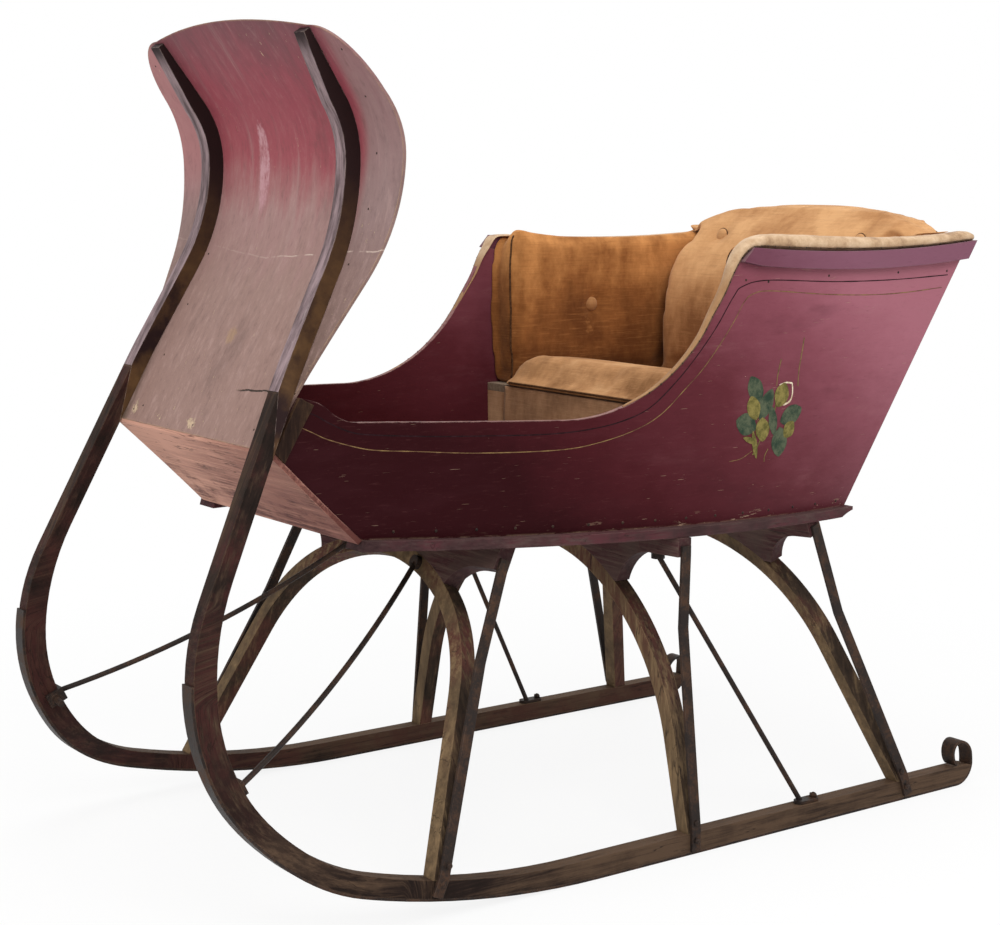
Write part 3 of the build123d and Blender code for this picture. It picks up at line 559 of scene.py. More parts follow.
def cream_cloth():
    """Soiled cream cotton drawn over the arms; its clean colour is a painted highlight and its
    dirty colour partly painted shade.
    """
    f = Finish("cream_cloth")
    soil_and_light = f.noise(13, detail=7, rough=0.72)
    # the ramp runs from soiled cloth in painted shade to clean cloth in a painted highlight, spread
    # by noise
    dirty_shaded, worn, clean_highlit = (0.22, 0.12, 0.065), (0.46, 0.3, 0.175), (0.68, 0.5, 0.33)
    f.colour = f.ramp(soil_and_light, (0.32, dirty_shaded), (0.46, worn), (0.66, clean_highlit))
    # below the arm's shoulder the strip is the seat's own tan cloth
    tan_strip = f.mix(soil_and_light, (0.17, 0.08, 0.035), (0.48, 0.28, 0.14))
    f.coat(f.step(f.z, 1.205, 1.13), tan_strip)
    weave = f.noise(700, detail=2, shift=2)
    pucker = f.noise(70, (1, 0.22, 0.22), 4, shift=5)
    f.put(0.15, "Sheen Weight")
    return f.done(0.88, f.sum((0.4, weave), (1, pucker)), 0.0016)


def plain_colour(name, low, high, roughness, scale=60):
    """A brushed paint or dyed trim with uneven cover."""
    f = Finish(name)
    cover = f.noise(scale, detail=6, rough=0.7)
    f.colour = f.mix(f.step(cover, 0.36, 0.64), low, high)
    return f.done(roughness, cover, 0.0004)


# columns: name, dark, mid, light, paint, grain direction, paler faces (weathering and painted
# light), the heights over which the paint comes in, how much paler towards the rear and towards the
# far side
woods = (
    ("toe_paint", (0.1, 0.034, 0.028), (0.215, 0.088, 0.07), (0.44, 0.235, 0.175),
     (0.1, 0.032, 0.028), "y", "x", 0.86, 0.7, 0, 0.26),
    ("batten_wood", (0.008, 0.004, 0.003), (0.02, 0.01, 0.007), (0.07, 0.038, 0.02),
     (0.04, 0.012, 0.014), "up", "x", 2, 3),
    ("runner_wood", (0.006, 0.004, 0.003), (0.017, 0.01, 0.008), (0.088, 0.054, 0.034),
     (0.05, 0.016, 0.014), "bend", "z", 0.1, 0.45, 0.13),
    ("knee_wood", (0.012, 0.008, 0.006), (0.042, 0.027, 0.018), (0.2, 0.132, 0.07),
     (0.085, 0.026, 0.022), "up", "x", 0.2, 0.5),
    ("bolster_wood", (0.02, 0.011, 0.011), (0.05, 0.026, 0.025), (0.11, 0.07, 0.058),
     (0.06, 0.016, 0.02), "y", "x", 0.3, 0.5),
    ("sill_wood", (0.022, 0.01, 0.011), (0.05, 0.026, 0.026), (0.1, 0.062, 0.056),
     (0.09, 0.026, 0.032), "x", "z", 0.2, 0.5),
    ("bare_boards", (0.1, 0.07, 0.05), (0.2, 0.145, 0.1), (0.33, 0.25, 0.18),
     (0.08, 0.03, 0.03), "x", "z", 2, 3),
)
toe, batten, runner, knee, bolster, sill, board = (grained(*row) for row in woods)

# columns: name, dark, mid and light colour, how much painted light towards the top and painted
# shade low down
velvets = (
    ("tan_velvet", (0.14, 0.048, 0.014), (0.27, 0.102, 0.03), (0.56, 0.25, 0.082), 0.26),
    ("tan_velvet_pale", (0.22, 0.092, 0.034), (0.42, 0.205, 0.084), (0.6, 0.33, 0.15), 0.17),
    ("tan_velvet_worn", (0.24, 0.11, 0.043), (0.46, 0.235, 0.102), (0.64, 0.375, 0.185)),
    ("tan_velvet_dark", (0.175, 0.088, 0.046), (0.37, 0.198, 0.105), (0.54, 0.325, 0.182)),
)
tan, tan_pale, tan_seat, tan_dark = (velvet(*row) for row in velvets)

# columns: name, thin and full colour, roughness, scale of the uneven cover
plains = (
    ("seam_brown", (0.045, 0.02, 0.009), (0.11, 0.052, 0.024), 0.8, 200),
    ("black_line", (0.01, 0.004, 0.005), (0.028, 0.01, 0.013), 0.6),
    ("gold_line", (0.1, 0.05, 0.028), (0.23, 0.145, 0.058), 0.5, 34),
    ("leaf_green", (0.022, 0.04, 0.026), (0.085, 0.1, 0.06), 0.5, 46),
    ("leaf_olive", (0.09, 0.08, 0.022), (0.22, 0.18, 0.055), 0.5, 60),
    ("bud_cream", (0.42, 0.3, 0.19), (0.78, 0.68, 0.52), 0.5, 70),
    ("dark_thread", (0.06, 0.035, 0.02), (0.13, 0.08, 0.05), 0.8),
)
seam_brown, black_line, gold_line, leaf_green, leaf_olive, bud_cream, dark_thread = (
    plain_colour(*row) for row in plains
)
cream = cream_cloth()
iron, rust = iron_paint("iron"), iron_paint("rusty_iron", 0.95)

# columns: material, CAD nodes; a star stands for left and right
dressing = (
    (body_paint("side_paint"), "side_panel_* back_panel"),
    (body_paint("arm_paint", (0.6, 0.66, 0.76)), "arm_rail_*"),
    (toe, "toe_board"),
    (batten, "corner_batten_*"),
    (dash_paint(), "dash_panel"),
    (rail_paint(), "dash_rail_*"),
    (runner, "runner_*"),
    (knee, "knee_front knee_middle knee_rear"),
    (bolster, "bolster_front bolster_middle bolster_rear"),
    (sill, "sill_*"),
    (board, "floor_board seat_board"),
    (tan_dark, "seat_riser"),
    (iron, "stay_front_* stay_middle_* stay_rear_* brace_front_*"),
    (rust, "shoe_* brace_rear_*"),
)
for finish, names in dressing:
    for name in names.split():
        for node in {name.replace("*", "left"), name.replace("*", "right")}:
            nodes[node].data.materials.clear()
            nodes[node].data.materials.append(finish)


# ---------------- mesh helpers
# places that rays start from, clear of the sleigh
OUTSIDE_Y, ABOVE_Z, AHEAD_X = 0.9, 1.5, 1.4
SIDES = (("left", 1), ("right", -1))
MM = 0.001
PROUD = 0.0004  # how far painted lines stand off the side
SUNK = 0.0004  # how far heads are sunk into a face
LINE_STEPS, STROKE_STEPS, LEAF_POINTS = 160, 16, 28
CLOTH_STEPS, CLOTH_STIFFNESS, AIR_PRESSURE = 20, 12, 4
BUTTON_RADIUS = 0.0175
SEAM_X = -0.1
FALL_COLUMNS, FALL_ROWS = 96, 22
ROLL_STEPS, ROLL_SIDES, FLAT_ROLL = 132, 20, 0.22
BOLT_FACE_Y = 0.5183
NUT_TURN = 0.3 + math.pi / 4


def show(name, mesh, material, slot):
    """A smooth piece in a material and an export slot."""
    piece = placed(name, mesh)
    mesh.materials.clear()
    mesh.materials.append(material)
    mesh.shade_smooth()
    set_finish(piece, slot)
    return piece


def from_bmesh(name, bm, material, slot):
    mesh = bpy.data.meshes.new(name)
    bmesh.ops.recalc_face_normals(bm, faces=bm.faces)
    bm.to_mesh(mesh)
    bm.free()
    return show(name, mesh, material, slot)


def modify(piece, kind, **settings):
    """Add a modifier."""
    modifier = piece.modifiers.new(kind.lower(), kind)
    change(modifier, **settings)
    return modifier


def settle(piece):
    """Apply a piece's modifiers to its mesh."""
    graph = bpy.context.evaluated_depsgraph_get()
    mesh = bpy.data.meshes.new_from_object(piece.evaluated_get(graph))
    old = piece.data
    piece.modifiers.clear()
    piece.data = mesh
    bpy.data.meshes.remove(old)


def flip(mesh):
    """Move a mesh to the sleigh's other side."""
    mesh.transform(Matrix.Scale(-1, 4, LEFT))
    mesh.flip_normals()


def mirrored(piece, name):
    """The same piece on the sleigh's other side."""
    mesh = piece.data.copy()
    flip(mesh)
    twin = placed(name, mesh)
    twin["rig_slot"] = piece["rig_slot"]
    return twin


def on_both_sides(name, bm, material, slot):
    """A piece on the left and its mirror image on the right."""
    left = from_bmesh(f"{name}_left", bm, material, slot)
    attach(mirrored(left, f"{name}_right"), "root")
    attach(left, "root")


def tree_of(mesh):
    """For shooting rays at a mesh."""
    return BVHTree.FromPolygons([v.co for v in mesh.vertices], [p.vertices for p in mesh.polygons])


def share_of(value, low, high):
    """How far a value is from low to high, kept between 0 and 1."""
    return min(1, max(0, (value - low) / (high - low)))


def eased(share):
    """A share with smooth ends."""
    return share * share * (3 - 2 * share)


def curve_points(points, count):
    """A smooth line through a few points."""
    points = [Vector(p) for p in points]
    ends = [2 * points[0] - points[1], *points, 2 * points[-1] - points[-2]]
    line = []
    spans = len(points) - 1
    for i in range(count + 1):
        t = i / count * spans
        k = min(int(t), spans - 1)
        u = t - k
        a, b, c, d = ends[k : k + 4]
        bend = (2 * a - 5 * b + 4 * c - d) * u * u + (3 * b - a - 3 * c + d) * u**3
        line.append(0.5 * (2 * b + (c - a) * u + bend))
    return line


def heading(line, i):
    """The direction of a line at its point i."""
    return (line[min(i + 1, len(line) - 1)] - line[max(i - 1, 0)]).normalized()


def frame_of(axis):
    """An axis and two directions across it."""
    axis = Vector(axis).normalized()
    side = axis.orthogonal().normalized()
    return axis, side, axis.cross(side)


def circle(centre, side, lift, radius, count, turn=0):
    """Points round a centre."""
    angles = [turn + 2 * math.pi * k / count for k in range(count)]
    return [centre + side * (radius * math.cos(a)) + lift * (radius * math.sin(a)) for a in angles]


def skin(bm, rings, tip=None):
    """Faces between rings of points, with closed ends; the last one may be a tip."""
    rings = [[bm.verts.new(p) for p in ring] for ring in rings]
    count = len(rings[0])
    for first, second in zip(rings, rings[1:]):
        for k in range(count):
            bm.faces.new((first[k - 1], first[k], second[k], second[k - 1]))
    bm.faces.new(list(reversed(rings[0])))
    if tip is None:
        bm.faces.new(rings[-1])
        return
    tip = bm.verts.new(tip)
    for k in range(count):
        bm.faces.new((rings[-1][k - 1], rings[-1][k], tip))


def tube(bm, line, radius, sides=8, taper=None):
    """A closed round cord along a line."""
    rings = []
    side = None
    for i, point in enumerate(line):
        ahead = heading(line, i)
        if side is None:
            side = ahead.orthogonal().normalized()
        side = (side - ahead * side.dot(ahead)).normalized()
        share = 1 if taper is None else taper(i / (len(line) - 1))
        rings.append(circle(point, side, ahead.cross(side), radius * share, sides))
    skin(bm, rings)


def dome(bm, place, axis, radius, height, sides=12, rings=3):
    """A low domed head standing on a face and sunk a little into it."""
    axis, side, lift = frame_of(axis)
    foot = Vector(place) - axis * SUNK
    angles = [0.5 * math.pi * j / (rings + 1) for j in range(rings + 1)]
    levels = [
        circle(foot + axis * (height * math.sin(a)), side, lift, radius * math.cos(a), sides)
        for a in angles
    ]
    skin(bm, levels, foot + axis * height)


def nut(bm, place, axis, radius, height):
    """A square nut with a bolt end."""
    axis, side, lift = frame_of(axis)
    place = Vector(place)
    levels = ((radius, -0.0005), (radius, 0.75 * height), (0.86 * radius, height))
    skin(bm, [circle(place + axis * h, side, lift, r, 4, NUT_TURN) for r, h in levels])
    dome(bm, place + axis * height, axis, 0.45 * radius, 0.4 * height, 8, 2)


side_tree = tree_of(nodes["side_panel_left"].data)


def on_side(x, z, proud=PROUD):
    """The point of the left side's outer face at a length and height, or None."""
    hit = side_tree.ray_cast(Vector((x, OUTSIDE_Y, z)), -LEFT)[0]
    return None if hit is None else hit + LEFT * proud


def stripe(name, points, width, material, count):
    """A painted line on both sides, with an uneven width."""
    line = curve_points([(MM * x, 0, MM * z) for x, z in points], count)
    bm = bmesh.new()
    last = None
    for i, point in enumerate(line):
        ahead = heading(line, i)
        across = Vector((-ahead.z, 0, ahead.x))
        half = 0.5 * MM * width * (0.8 + 0.35 * noise.noise(point * 40))
        low, high = point - across * half, point + across * half
        pair = [on_side(low.x, low.z), on_side(high.x, high.z)]
        if None in pair:
            last = None
            continue
        pair = [bm.verts.new(p) for p in pair]
        if last:
            bm.faces.new((last[0], last[1], pair[1], pair[0]))
        last = pair
    on_both_sides(name, bm, material, "body_paint")


# painted lines; points are (x, z) on the side, in millimetres
black_points = (
    (687, 939), (662, 930), (632, 913), (592, 895), (553, 887),
    (456, 879), (299, 872), (200, 869), (118, 872), (39, 883),
    (-30, 906), (-91, 951), (-142, 999), (-193, 1056), (-238, 1118),
    (-262, 1138), (-330, 1148), (-519, 1139), (-700, 1137), (-885, 1141),
)
gold_points = (
    (698, 913), (668, 899), (634, 883), (574, 864), (531, 856),
    (455, 850), (339, 841), (173, 837), (84, 846), (0, 866),
    (-60, 893), (-119, 940), (-160, 975), (-202, 1020), (-240, 1068),
    (-266, 1106), (-290, 1122), (-340, 1126), (-500, 1113), (-640, 1107),
    (-750, 1108), (-870, 1114),
)
stripe("black_line", black_points, 2.6, black_line, LINE_STEPS)
stripe("gold_line", gold_points, 2.1, gold_line, LINE_STEPS)

# a small painted spray of leaves and buds
# columns: colour, centre x and z, length and width in millimetres, turn in degrees
leaves = (
    (leaf_green, -303, 926, 52, 30, 62),
    (leaf_green, -334, 893, 60, 26, 118),
    (leaf_green, -280, 856, 50, 34, 20),
    (leaf_green, -408, 866, 56, 30, 158),
    (leaf_green, -377, 812, 52, 34, 92),
    (leaf_green, -355, 858, 52, 18, 80),
    (leaf_olive, -299, 888, 44, 27, 70),
    (leaf_olive, -326, 842, 42, 29, 84),
    (leaf_olive, -404, 836, 34, 24, 130),
    (leaf_olive, -377, 910, 44, 30, 112),
    (leaf_olive, -305, 812, 50, 10, 78),
    (leaf_olive, -292, 822, 36, 9, 20),
)
for index, (green, *row, turn) in enumerate(leaves):
    leaf_x, leaf_z, length, width = (MM * value for value in row)
    bm = bmesh.new()
    c, s = math.cos(math.radians(turn)), math.sin(math.radians(turn))
    proud = 0.00045 + 0.00006 * index
    middle = bm.verts.new(on_side(leaf_x, leaf_z, proud))
    rim = []
    for k in range(LEAF_POINTS):
        a = 2 * math.pi * k / LEAF_POINTS
        along, across = math.cos(a), math.sin(a)
        swell = 1 - 0.3 * along**4 * across**2
        ragged = 1 + 0.05 * noise.noise(Vector((9 * index, 3 * along, 3 * across)))
        u = 0.6 * length * along * ragged
        v = 0.68 * width * across * abs(across) ** 0.45 * swell * ragged
        rim.append(bm.verts.new(on_side(leaf_x + u * c - v * s, leaf_z + u * s + v * c, proud)))
    for k in range(LEAF_POINTS):
        bm.faces.new((middle, rim[k - 1], rim[k]))
    on_both_sides(f"leaf_{index}", bm, green, "body_paint")

# columns: name, points and width in millimetres, material
strokes = (
    ("stalk_a", ((-358, 876), (-364, 900), (-367, 925)), 4.2, leaf_olive),
    ("stalk_b", ((-362, 930), (-364, 953), (-372, 985)), 2.4, leaf_olive),
    ("stalk_c", ((-424, 925), (-425, 959), (-430, 990), (-436, 1026)), 2.2, leaf_olive),
    ("stalk_d", ((-326, 832), (-318, 815), (-301, 791)), 3.2, leaf_olive),
    ("stalk_e", ((-345, 800), (-336, 786), (-335, 774)), 2, leaf_olive),
    ("stalk_f", ((-300, 800), (-268, 786), (-236, 783)), 2, gold_line),
    ("bud_top", ((-370, 931), (-388, 935), (-407, 933)), 4, bud_cream),
    ("bud_edge", ((-407, 933), (-409, 912), (-403, 896), (-385, 889)), 4.8, bud_cream),
    ("bud_low", ((-385, 889), (-371, 891), (-362, 899)), 3.6, bud_cream),
    ("bud_ring", ((-310, 850), (-312, 862), (-325, 864), (-338, 856)), 1.8, gold_line),
)
for name, points, width, material in strokes:
    stripe(name, points, width, material, STROKE_STEPS)


# ---------------- upholstery
def puff(name, node, inset, held, voxel, cap):
    """Blow a CAD cushion up as cloth, by at most cap; held(point, normal) is 1 where it rests."""
    mesh = nodes[node].data.copy()
    piece = show(name, mesh, tan, "velvet")
    bm = bmesh.new()
    bm.from_mesh(mesh)
    bmesh.ops.remove_doubles(bm, verts=bm.verts, dist=0.00005)
    bmesh.ops.recalc_face_normals(bm, faces=bm.faces)
    bm.to_mesh(mesh)
    bm.free()
    voxel = voxel
    modify(piece, "REMESH", mode="VOXEL", voxel_size=voxel)
    settle(piece)
    modify(piece, "SMOOTH", factor=0.6, iterations=6)
    settle(piece)
    mesh = piece.data
    normals = [v.normal.copy() for v in mesh.vertices]
    free = [1 - held(v.co, n) for v, n in zip(mesh.vertices, normals)]
    for v, n, share in zip(mesh.vertices, normals, free):
        v.co -= n * (inset * share)
    start = [v.co.copy() for v in mesh.vertices]
    cloth = modify(piece, "CLOTH")
    rules = cloth.settings
    change(rules, quality=4, mass=0.3, bending_stiffness=0.6)
    change(rules, use_pressure=True, uniform_pressure_force=AIR_PRESSURE)
    rules.tension_stiffness = rules.compression_stiffness = CLOTH_STIFFNESS
    rules.effector_weights.gravity = 0
    cloth.collision_settings.use_collision = False
    for step in range(CLOTH_STEPS):
        scene.frame_set(step + 1)
    graph = bpy.context.evaluated_depsgraph_get()
    blown = [v.co.copy() for v in piece.evaluated_get(graph).data.vertices]
    piece.modifiers.clear()
    scene.frame_set(1)
    for v, first, last, share in zip(mesh.vertices, start, blown, free):
        move = last - first
        if move.length > cap:
            move *= cap / move.length
        v.co = first + move * share
    modify(piece, "SMOOTH", factor=0.5, iterations=6)
    modify(piece, "SUBSURF", levels=1)
    settle(piece)
    piece.data.shade_smooth()
    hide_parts(node)
    return piece


def tuft(piece, centre, inward, depth, spread, folds, phase):
    """Pull a spot in under a button, with small creases running out of it."""
    inward, side, lift = frame_of(inward)
    facing = [v.normal.dot(inward) < -0.15 for v in piece.data.vertices]
    for v, outside in zip(piece.data.vertices, facing):
        away = v.co - centre
        flat = away - inward * away.dot(inward)
        r = flat.length
        if r > 3.2 * spread or not outside:
            continue
        a = math.atan2(flat.dot(lift), flat.dot(side))
        crease = 0.1 * math.cos(folds * a + phase) * math.exp(-((r / spread - 1) ** 2) / 0.5)
        pull = math.exp(-((r / spread) ** 2)) + crease * math.exp(-r / (2.2 * spread))
        v.co += inward * depth * pull


def button(name, piece, origin, direction):
    """A covered button sunk into a cushion, with its folds and a dark ring of painted shadow round
    its foot, where a ray meets it.
    """
    inward, side, lift = frame_of(direction)
    origin = Vector(origin)
    place = tree_of(piece.data).ray_cast(origin, inward)[0]
    tuft(piece, place, inward, 0.011, 0.028, 5, 0.7)
    tuft(piece, place, inward, 0.006, 0.085, 3, 0.2)
    place = tree_of(piece.data).ray_cast(origin, inward)[0]
    bm = bmesh.new()
    dome(bm, place - inward * 0.0015, -inward, BUTTON_RADIUS, 0.0095, 20, 5)
    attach(from_bmesh(name, bm, tan_pale, "velvet"), "root")
    # a thin dark ring round the button's foot: painted shadow where the button sinks into the cloth
    ring = circle(place - inward * 0.0012, side, lift, 1.03 * BUTTON_RADIUS, 24)
    bm = bmesh.new()
    tube(bm, [*ring, ring[0]], 0.0013, 6)
    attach(from_bmesh(f"{name}_rim", bm, seam_brown, "velvet"), "root")


seat_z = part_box("seat_board")[1].z
back_out = Vector((1, 0, 0.55)).normalized()


def seat_held(point, normal):
    return float(normal.z < -0.5 or point.z < seat_z + 0.006)


def back_held(point, normal):
    return float(normal.z < -0.6 or (normal.x < -0.35 and point.z < 1.235))


def pad_held(point, normal):
    outer = abs(normal.y) > 0.5 and normal.y * point.y > 0
    return float(outer or normal.z < -0.6 or normal.x < -0.5)


seat = puff("seat_cushion_soft", "seat_cushion", 0.008, seat_held, 0.007, 0.02)
back = puff("back_cushion_soft", "back_cushion", 0.012, back_held, 0.009, 0.024)
pads = {
    side: puff(f"arm_pad_soft_{side}", f"arm_pad_{side}", 0.006, pad_held, 0.007, 0.014)
    for side in ("left", "right")
}
back.data.materials[0] = tan_pale
seat.data.materials[0] = tan_seat

# the right pad's top stands higher, and falls towards the side under its flatter roll
for v in pads["right"].data.vertices:
    rise = share_of(v.co.z, 0.98, 1.18)
    v.co.z += 0.015 * eased(rise)
    v.co.z -= 0.024 * rise * rise * eased(share_of(abs(v.co.y), 0.388, 0.422))
# the seat has a roll along its front edge, a sunken middle and a wider top
seat_low, seat_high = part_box("seat_cushion")
for v in seat.data.vertices:
    back_by = seat_high.x - v.co.x
    top = share_of(v.co.z, seat_low.z, seat_low.z + 0.04)
    roll_up = 0.013 * math.exp(-(((back_by - 0.045) / 0.036) ** 2))
    v.co.z += top * (roll_up - 0.03 * eased(share_of(back_by, 0.07, 0.41)))
    v.co.x += 0.02 * math.exp(-((back_by / 0.045) ** 2))
    v.co.y *= 1.026 + 0.034 * top
# the back stands a little further forward below its roll
facing = [v.normal.dot(back_out) > 0.3 for v in back.data.vertices]
for v, front in zip(back.data.vertices, facing):
    if front:
        v.co.x += 0.012 * share_of(v.co.z, 1.27, 1.17)

for tag, y in (("left", 0.245), ("right", -0.215)):
    button(f"back_button_{tag}", back, (-0.3, y, 1.33), (-1, 0, -0.24))
for tag, sign in SIDES:
    button(f"arm_button_{tag}", pads[tag], (-0.514, 0, 1.048), LEFT * sign)

# soft creases; columns: piece, start, end, depth, width
creases = (
    (back, (-0.93, 0.4, 1.262), (-0.9, 0.2, 1.3), 0.006, 0.012),
    (back, (-0.93, 0.41, 1.24), (-0.86, 0.26, 1.262), 0.005, 0.011),
    (back, (-0.93, -0.4, 1.262), (-0.9, -0.22, 1.3), 0.006, 0.012),
    (seat, (-0.3, -0.3, 0.925), (-0.42, -0.1, 0.93), 0.003, 0.02),
    (seat, (-0.28, 0.1, 0.925), (-0.46, 0.2, 0.93), 0.003, 0.022),
    (seat, (-0.28, -0.05, 0.925), (-0.4, -0.02, 0.93), 0.003, 0.016),
)
for piece, start, end, depth, width in creases:
    start, end = Vector(start), Vector(end)
    run = end - start
    normals = [v.normal.copy() for v in piece.data.vertices]
    for v, normal in zip(piece.data.vertices, normals):
        t = (v.co - start).dot(run) / run.length_squared
        near = start + run * min(max(t, 0), 1)
        gap = (v.co - near).length
        if gap < 3 * width:
            fade = math.sin(math.pi * min(max(t, 0.04), 0.96))
            v.co -= normal * depth * fade * math.exp(-((gap / width) ** 2))

for piece in (seat, back, *pads.values()):
    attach(piece, "root")


def seam(name, piece, points, proud, count, radius):
    """A sewn edge along the front of a cushion, near a few points."""
    tree = tree_of(piece.data)
    hits = [tree.ray_cast(p, -FORWARD)[:2] for p in curve_points(points, count)]
    bm = bmesh.new()
    tube(bm, [hit + normal * proud for hit, normal in hits if hit is not None], radius)
    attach(from_bmesh(name, bm, seam_brown, "velvet"), "root")


pad_edge = ((0.372, 0.882), (0.371, 0.98), (0.372, 1.08), (0.378, 1.216))
for tag, sign in SIDES:
    points = [(SEAM_X, sign * y, z) for y, z in pad_edge]
    seam(f"arm_seam_{tag}", pads[tag], points, 0.0004, 40, 0.0024)
points = [(SEAM_X, y / 100, seat_low.z + 0.008) for y in range(-33, 34, 6)]
seam("seat_seam", seat, points, 0.0006, 60, 0.0026)

# the fall: cloth over the seat's front, gathered at its top
fall_low, fall_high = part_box("seat_fall")
bm = bmesh.new()
sheets = []
for front in (False, True):
    sheet = []
    for j in range(FALL_ROWS + 1):
        up = j / FALL_ROWS
        z = fall_low.z + (fall_high.z - fall_low.z - 0.002) * up
        row = []
        for i in range(FALL_COLUMNS + 1):
            y = fall_low.y + (fall_high.y - fall_low.y) * i / FALL_COLUMNS
            x = fall_low.x + 0.0006
            if front:
                wave = 0.0024 * noise.noise(Vector((y * 9, z * 16, 1)))
                gather = 0.0006 * up**3 * math.sin(y * 120)
                x = fall_low.x + 0.005 + wave + gather + 0.0035 * math.sin(math.pi * up)
            row.append(bm.verts.new((x, y, z)))
        sheet.append(row)
    sheets.append(sheet)
    for low, high in zip(sheet, sheet[1:]):
        for i in range(FALL_COLUMNS):
            bm.faces.new((low[i], low[i + 1], high[i + 1], high[i]))
inner, outer = (
    [*s[0], *(row[-1] for row in s[1:-1]), *reversed(s[-1]), *(row[0] for row in s[-2:0:-1])]
    for s in sheets
)
for k in range(len(inner)):
    bm.faces.new((inner[k - 1], inner[k], outer[k], outer[k - 1]))
fall = from_bmesh("seat_fall_soft", bm, tan_dark, "seat_cloth")
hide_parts("seat_fall")
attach(fall, "root")


def drop(tree, x, y):
    """Where a mesh is met from above."""
    return tree.ray_cast(Vector((x, y, ABOVE_Z)), -UP)[0]


# cream rolls over the arms: thin up the side's front curve, full along the top of the rail
rail_tree = tree_of(nodes["arm_rail_left"].data)
roll_rows = []  # x, centre z, centre y, half width, half height
# columns: x, half height
front_rows = (
    (0.03, 0.0016), (-0.025, 0.0024), (-0.075, 0.0031),
    (-0.12, 0.0038), (-0.155, 0.0046), (-0.185, 0.0056),
)
for x, half in front_rows:
    inside = on_side(x, 0.9, 0).y - 0.003
    hits = [drop(side_tree, x, inside + 0.001 * lean) for lean in range(12)]
    edge = max((hit for hit in hits if hit is not None), key=lambda hit: hit.z)
    roll_rows.append((x, edge.z + 0.4 * half, edge.y - 0.003, 1.5 * half, half))
roll_rows += [
    (-0.214, 1.13, 0.438, 0.0105, 0.0068),
    (-0.233, 1.168, 0.438, 0.013, 0.0082),
    (-0.25, 1.196, 0.437, 0.016, 0.0095),
]
# columns: x, height of the roll's top, half width
rail_rows = (
    (-0.272, 1.229, 0.019), (-0.305, 1.239, 0.022), (-0.34, 1.241, 0.024),
    (-0.42, 1.238, 0.024), (-0.5, 1.234, 0.024), (-0.62, 1.229, 0.024),
    (-0.74, 1.228, 0.024), (-0.85, 1.231, 0.023), (-0.925, 1.236, 0.021),
    (-0.948, 1.231, 0.016),
)
for x, top, half in rail_rows:
    under = drop(rail_tree, x, 0.44).z - 0.002
    face = rail_tree.ray_cast(Vector((x, OUTSIDE_Y, under - 0.006)), -LEFT)[0]
    outer = face.y - 0.005 if face is not None else 0.444
    roll_rows.append((x, 0.5 * (top + under), outer - half, half, 0.5 * (top - under)))
centre_line = curve_points([(x, y, z) for x, z, y, w, h in roll_rows], ROLL_STEPS)
sizes = curve_points([(w, h, 0) for x, z, y, w, h in roll_rows], ROLL_STEPS)

# the right roll is flatter, and sits lower on its rail
arms = (("left", 1), ("right", FLAT_ROLL))
for tag, flatten in arms:
    rings = []
    for i, (middle, size) in enumerate(zip(centre_line, sizes)):
        height = size.y * flatten
        point = middle - UP * (size.y - height)
        lift = LEFT.cross(heading(centre_line, i))
        lift = -lift if lift.z < 0 else lift
        ring = []
        for k in range(ROLL_SIDES):
            a = 2 * math.pi * k / ROLL_SIDES
            c, s = math.cos(a), math.sin(a)
            ripple = 1 + 0.07 * noise.noise(Vector((point.x * 60, c * 1.5, s * 1.5)))
            w = size.x * math.copysign(abs(c) ** 0.8, c) * ripple
            h = height * math.copysign(abs(s) ** 0.9, s) * ripple
            ring.append(point + LEFT * w + lift.normalized() * h)
        rings.append(ring)
    bm = bmesh.new()
    skin(bm, rings)
    roll = from_bmesh(f"arm_roll_{tag}", bm, cream, "seat_cloth")
    if tag == "right":
        flip(roll.data)
    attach(roll, "root")

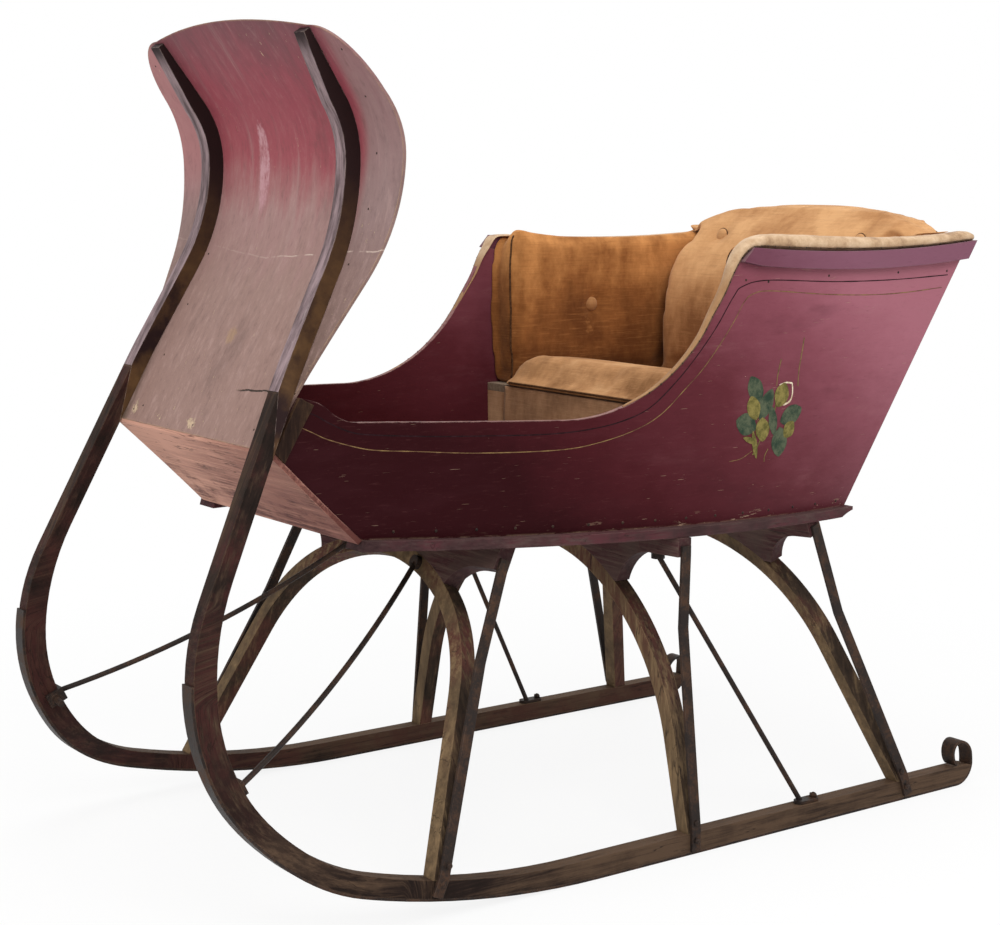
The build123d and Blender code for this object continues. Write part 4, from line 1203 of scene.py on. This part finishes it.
# the binding tape and tacks under the roll's outer edge
for tag, flatten in arms:
    binding = [
        p + LEFT * (0.93 * s.x) - UP * (s.y * (1 - 0.45 * flatten))
        for p, s in zip(centre_line, sizes)
    ]
    bm = bmesh.new()
    tube(bm, binding[4:130], 0.0016, taper=lambda t: min(1, 0.45 + 2 * t))
    tape = from_bmesh(f"arm_tape_{tag}", bm, dark_thread, "seat_cloth")
    bm = bmesh.new()
    for place in binding[8:128:4]:
        dome(bm, place + LEFT * 0.001, (0, 1, 0.25), 0.0021, 0.0014, 8, 2)
    tacks = from_bmesh(f"arm_tacks_{tag}", bm, rust, "iron")
    for piece in (tape, tacks):
        if tag == "right":
            flip(piece.data)
        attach(piece, "root")


# ---------------- fasteners
def on_both(make, bm, place, axis, *size):
    """Make a head on the left and its mirror image on the right."""
    for _, sign in SIDES:
        spot, turned = (Vector((v[0], sign * v[1], v[2])) for v in (place, axis))
        make(bm, spot, turned, *size)


bm = bmesh.new()
for x, z in ((0.503, 0.102), (0.518, 0.07), (-0.098, 0.066), (-0.69, 0.068)):
    on_both(dome, bm, (x, BOLT_FACE_Y, z), LEFT, 0.0065, 0.003)
for x, z in ((-0.098, 0.03), (-0.704, 0.032)):
    on_both(nut, bm, (x, BOLT_FACE_Y, z), LEFT, 0.0075, 0.005)
on_both(nut, bm, (-0.446, 0.4935, 0.0509), UP, 0.009, 0.008)
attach(from_bmesh("bolts", bm, rust, "iron"), "root")

# small nails along the sides' lower edges and under the rails; columns: x, z, radius, height
lower_x = [0.5 - 0.078 * i for i in range(15)]
lower_nails = [(x, 0.682 + 0.035 * x, 0.0034, 0.0016) for x in lower_x]
rail_nails = ((-0.27, 1.15), (-0.5, 1.152), (-0.714, 1.152), (-0.33, 1.145), (-0.88, 1.15))
bm = bmesh.new()
for x, z, radius, height in (*lower_nails, *((x, z, 0.003, 0.0014) for x, z in rail_nails)):
    place = on_side(x, z, 0)
    if place is not None:
        on_both(dome, bm, place, LEFT, radius, height, 8, 2)
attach(from_bmesh("side_nails", bm, rust, "iron"), "root")

# the dash's nails follow its flare
dash_tree = tree_of(nodes["dash_panel"].data)
bm = bmesh.new()
for z in (0.9, 1, 1.1, 1.2, 1.3, 1.4, 1.5, 1.58):
    for y in (0.232, 0.3):
        flare = max(0, z - 1.14) * 0.16
        place, normal = dash_tree.ray_cast(Vector((AHEAD_X, y + flare, z)), -FORWARD)[:2]
        if place is not None:
            on_both(dome, bm, place, normal, 0.0026, 0.0012, 8, 2)
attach(from_bmesh("dash_nails", bm, rust, "iron"), "root")
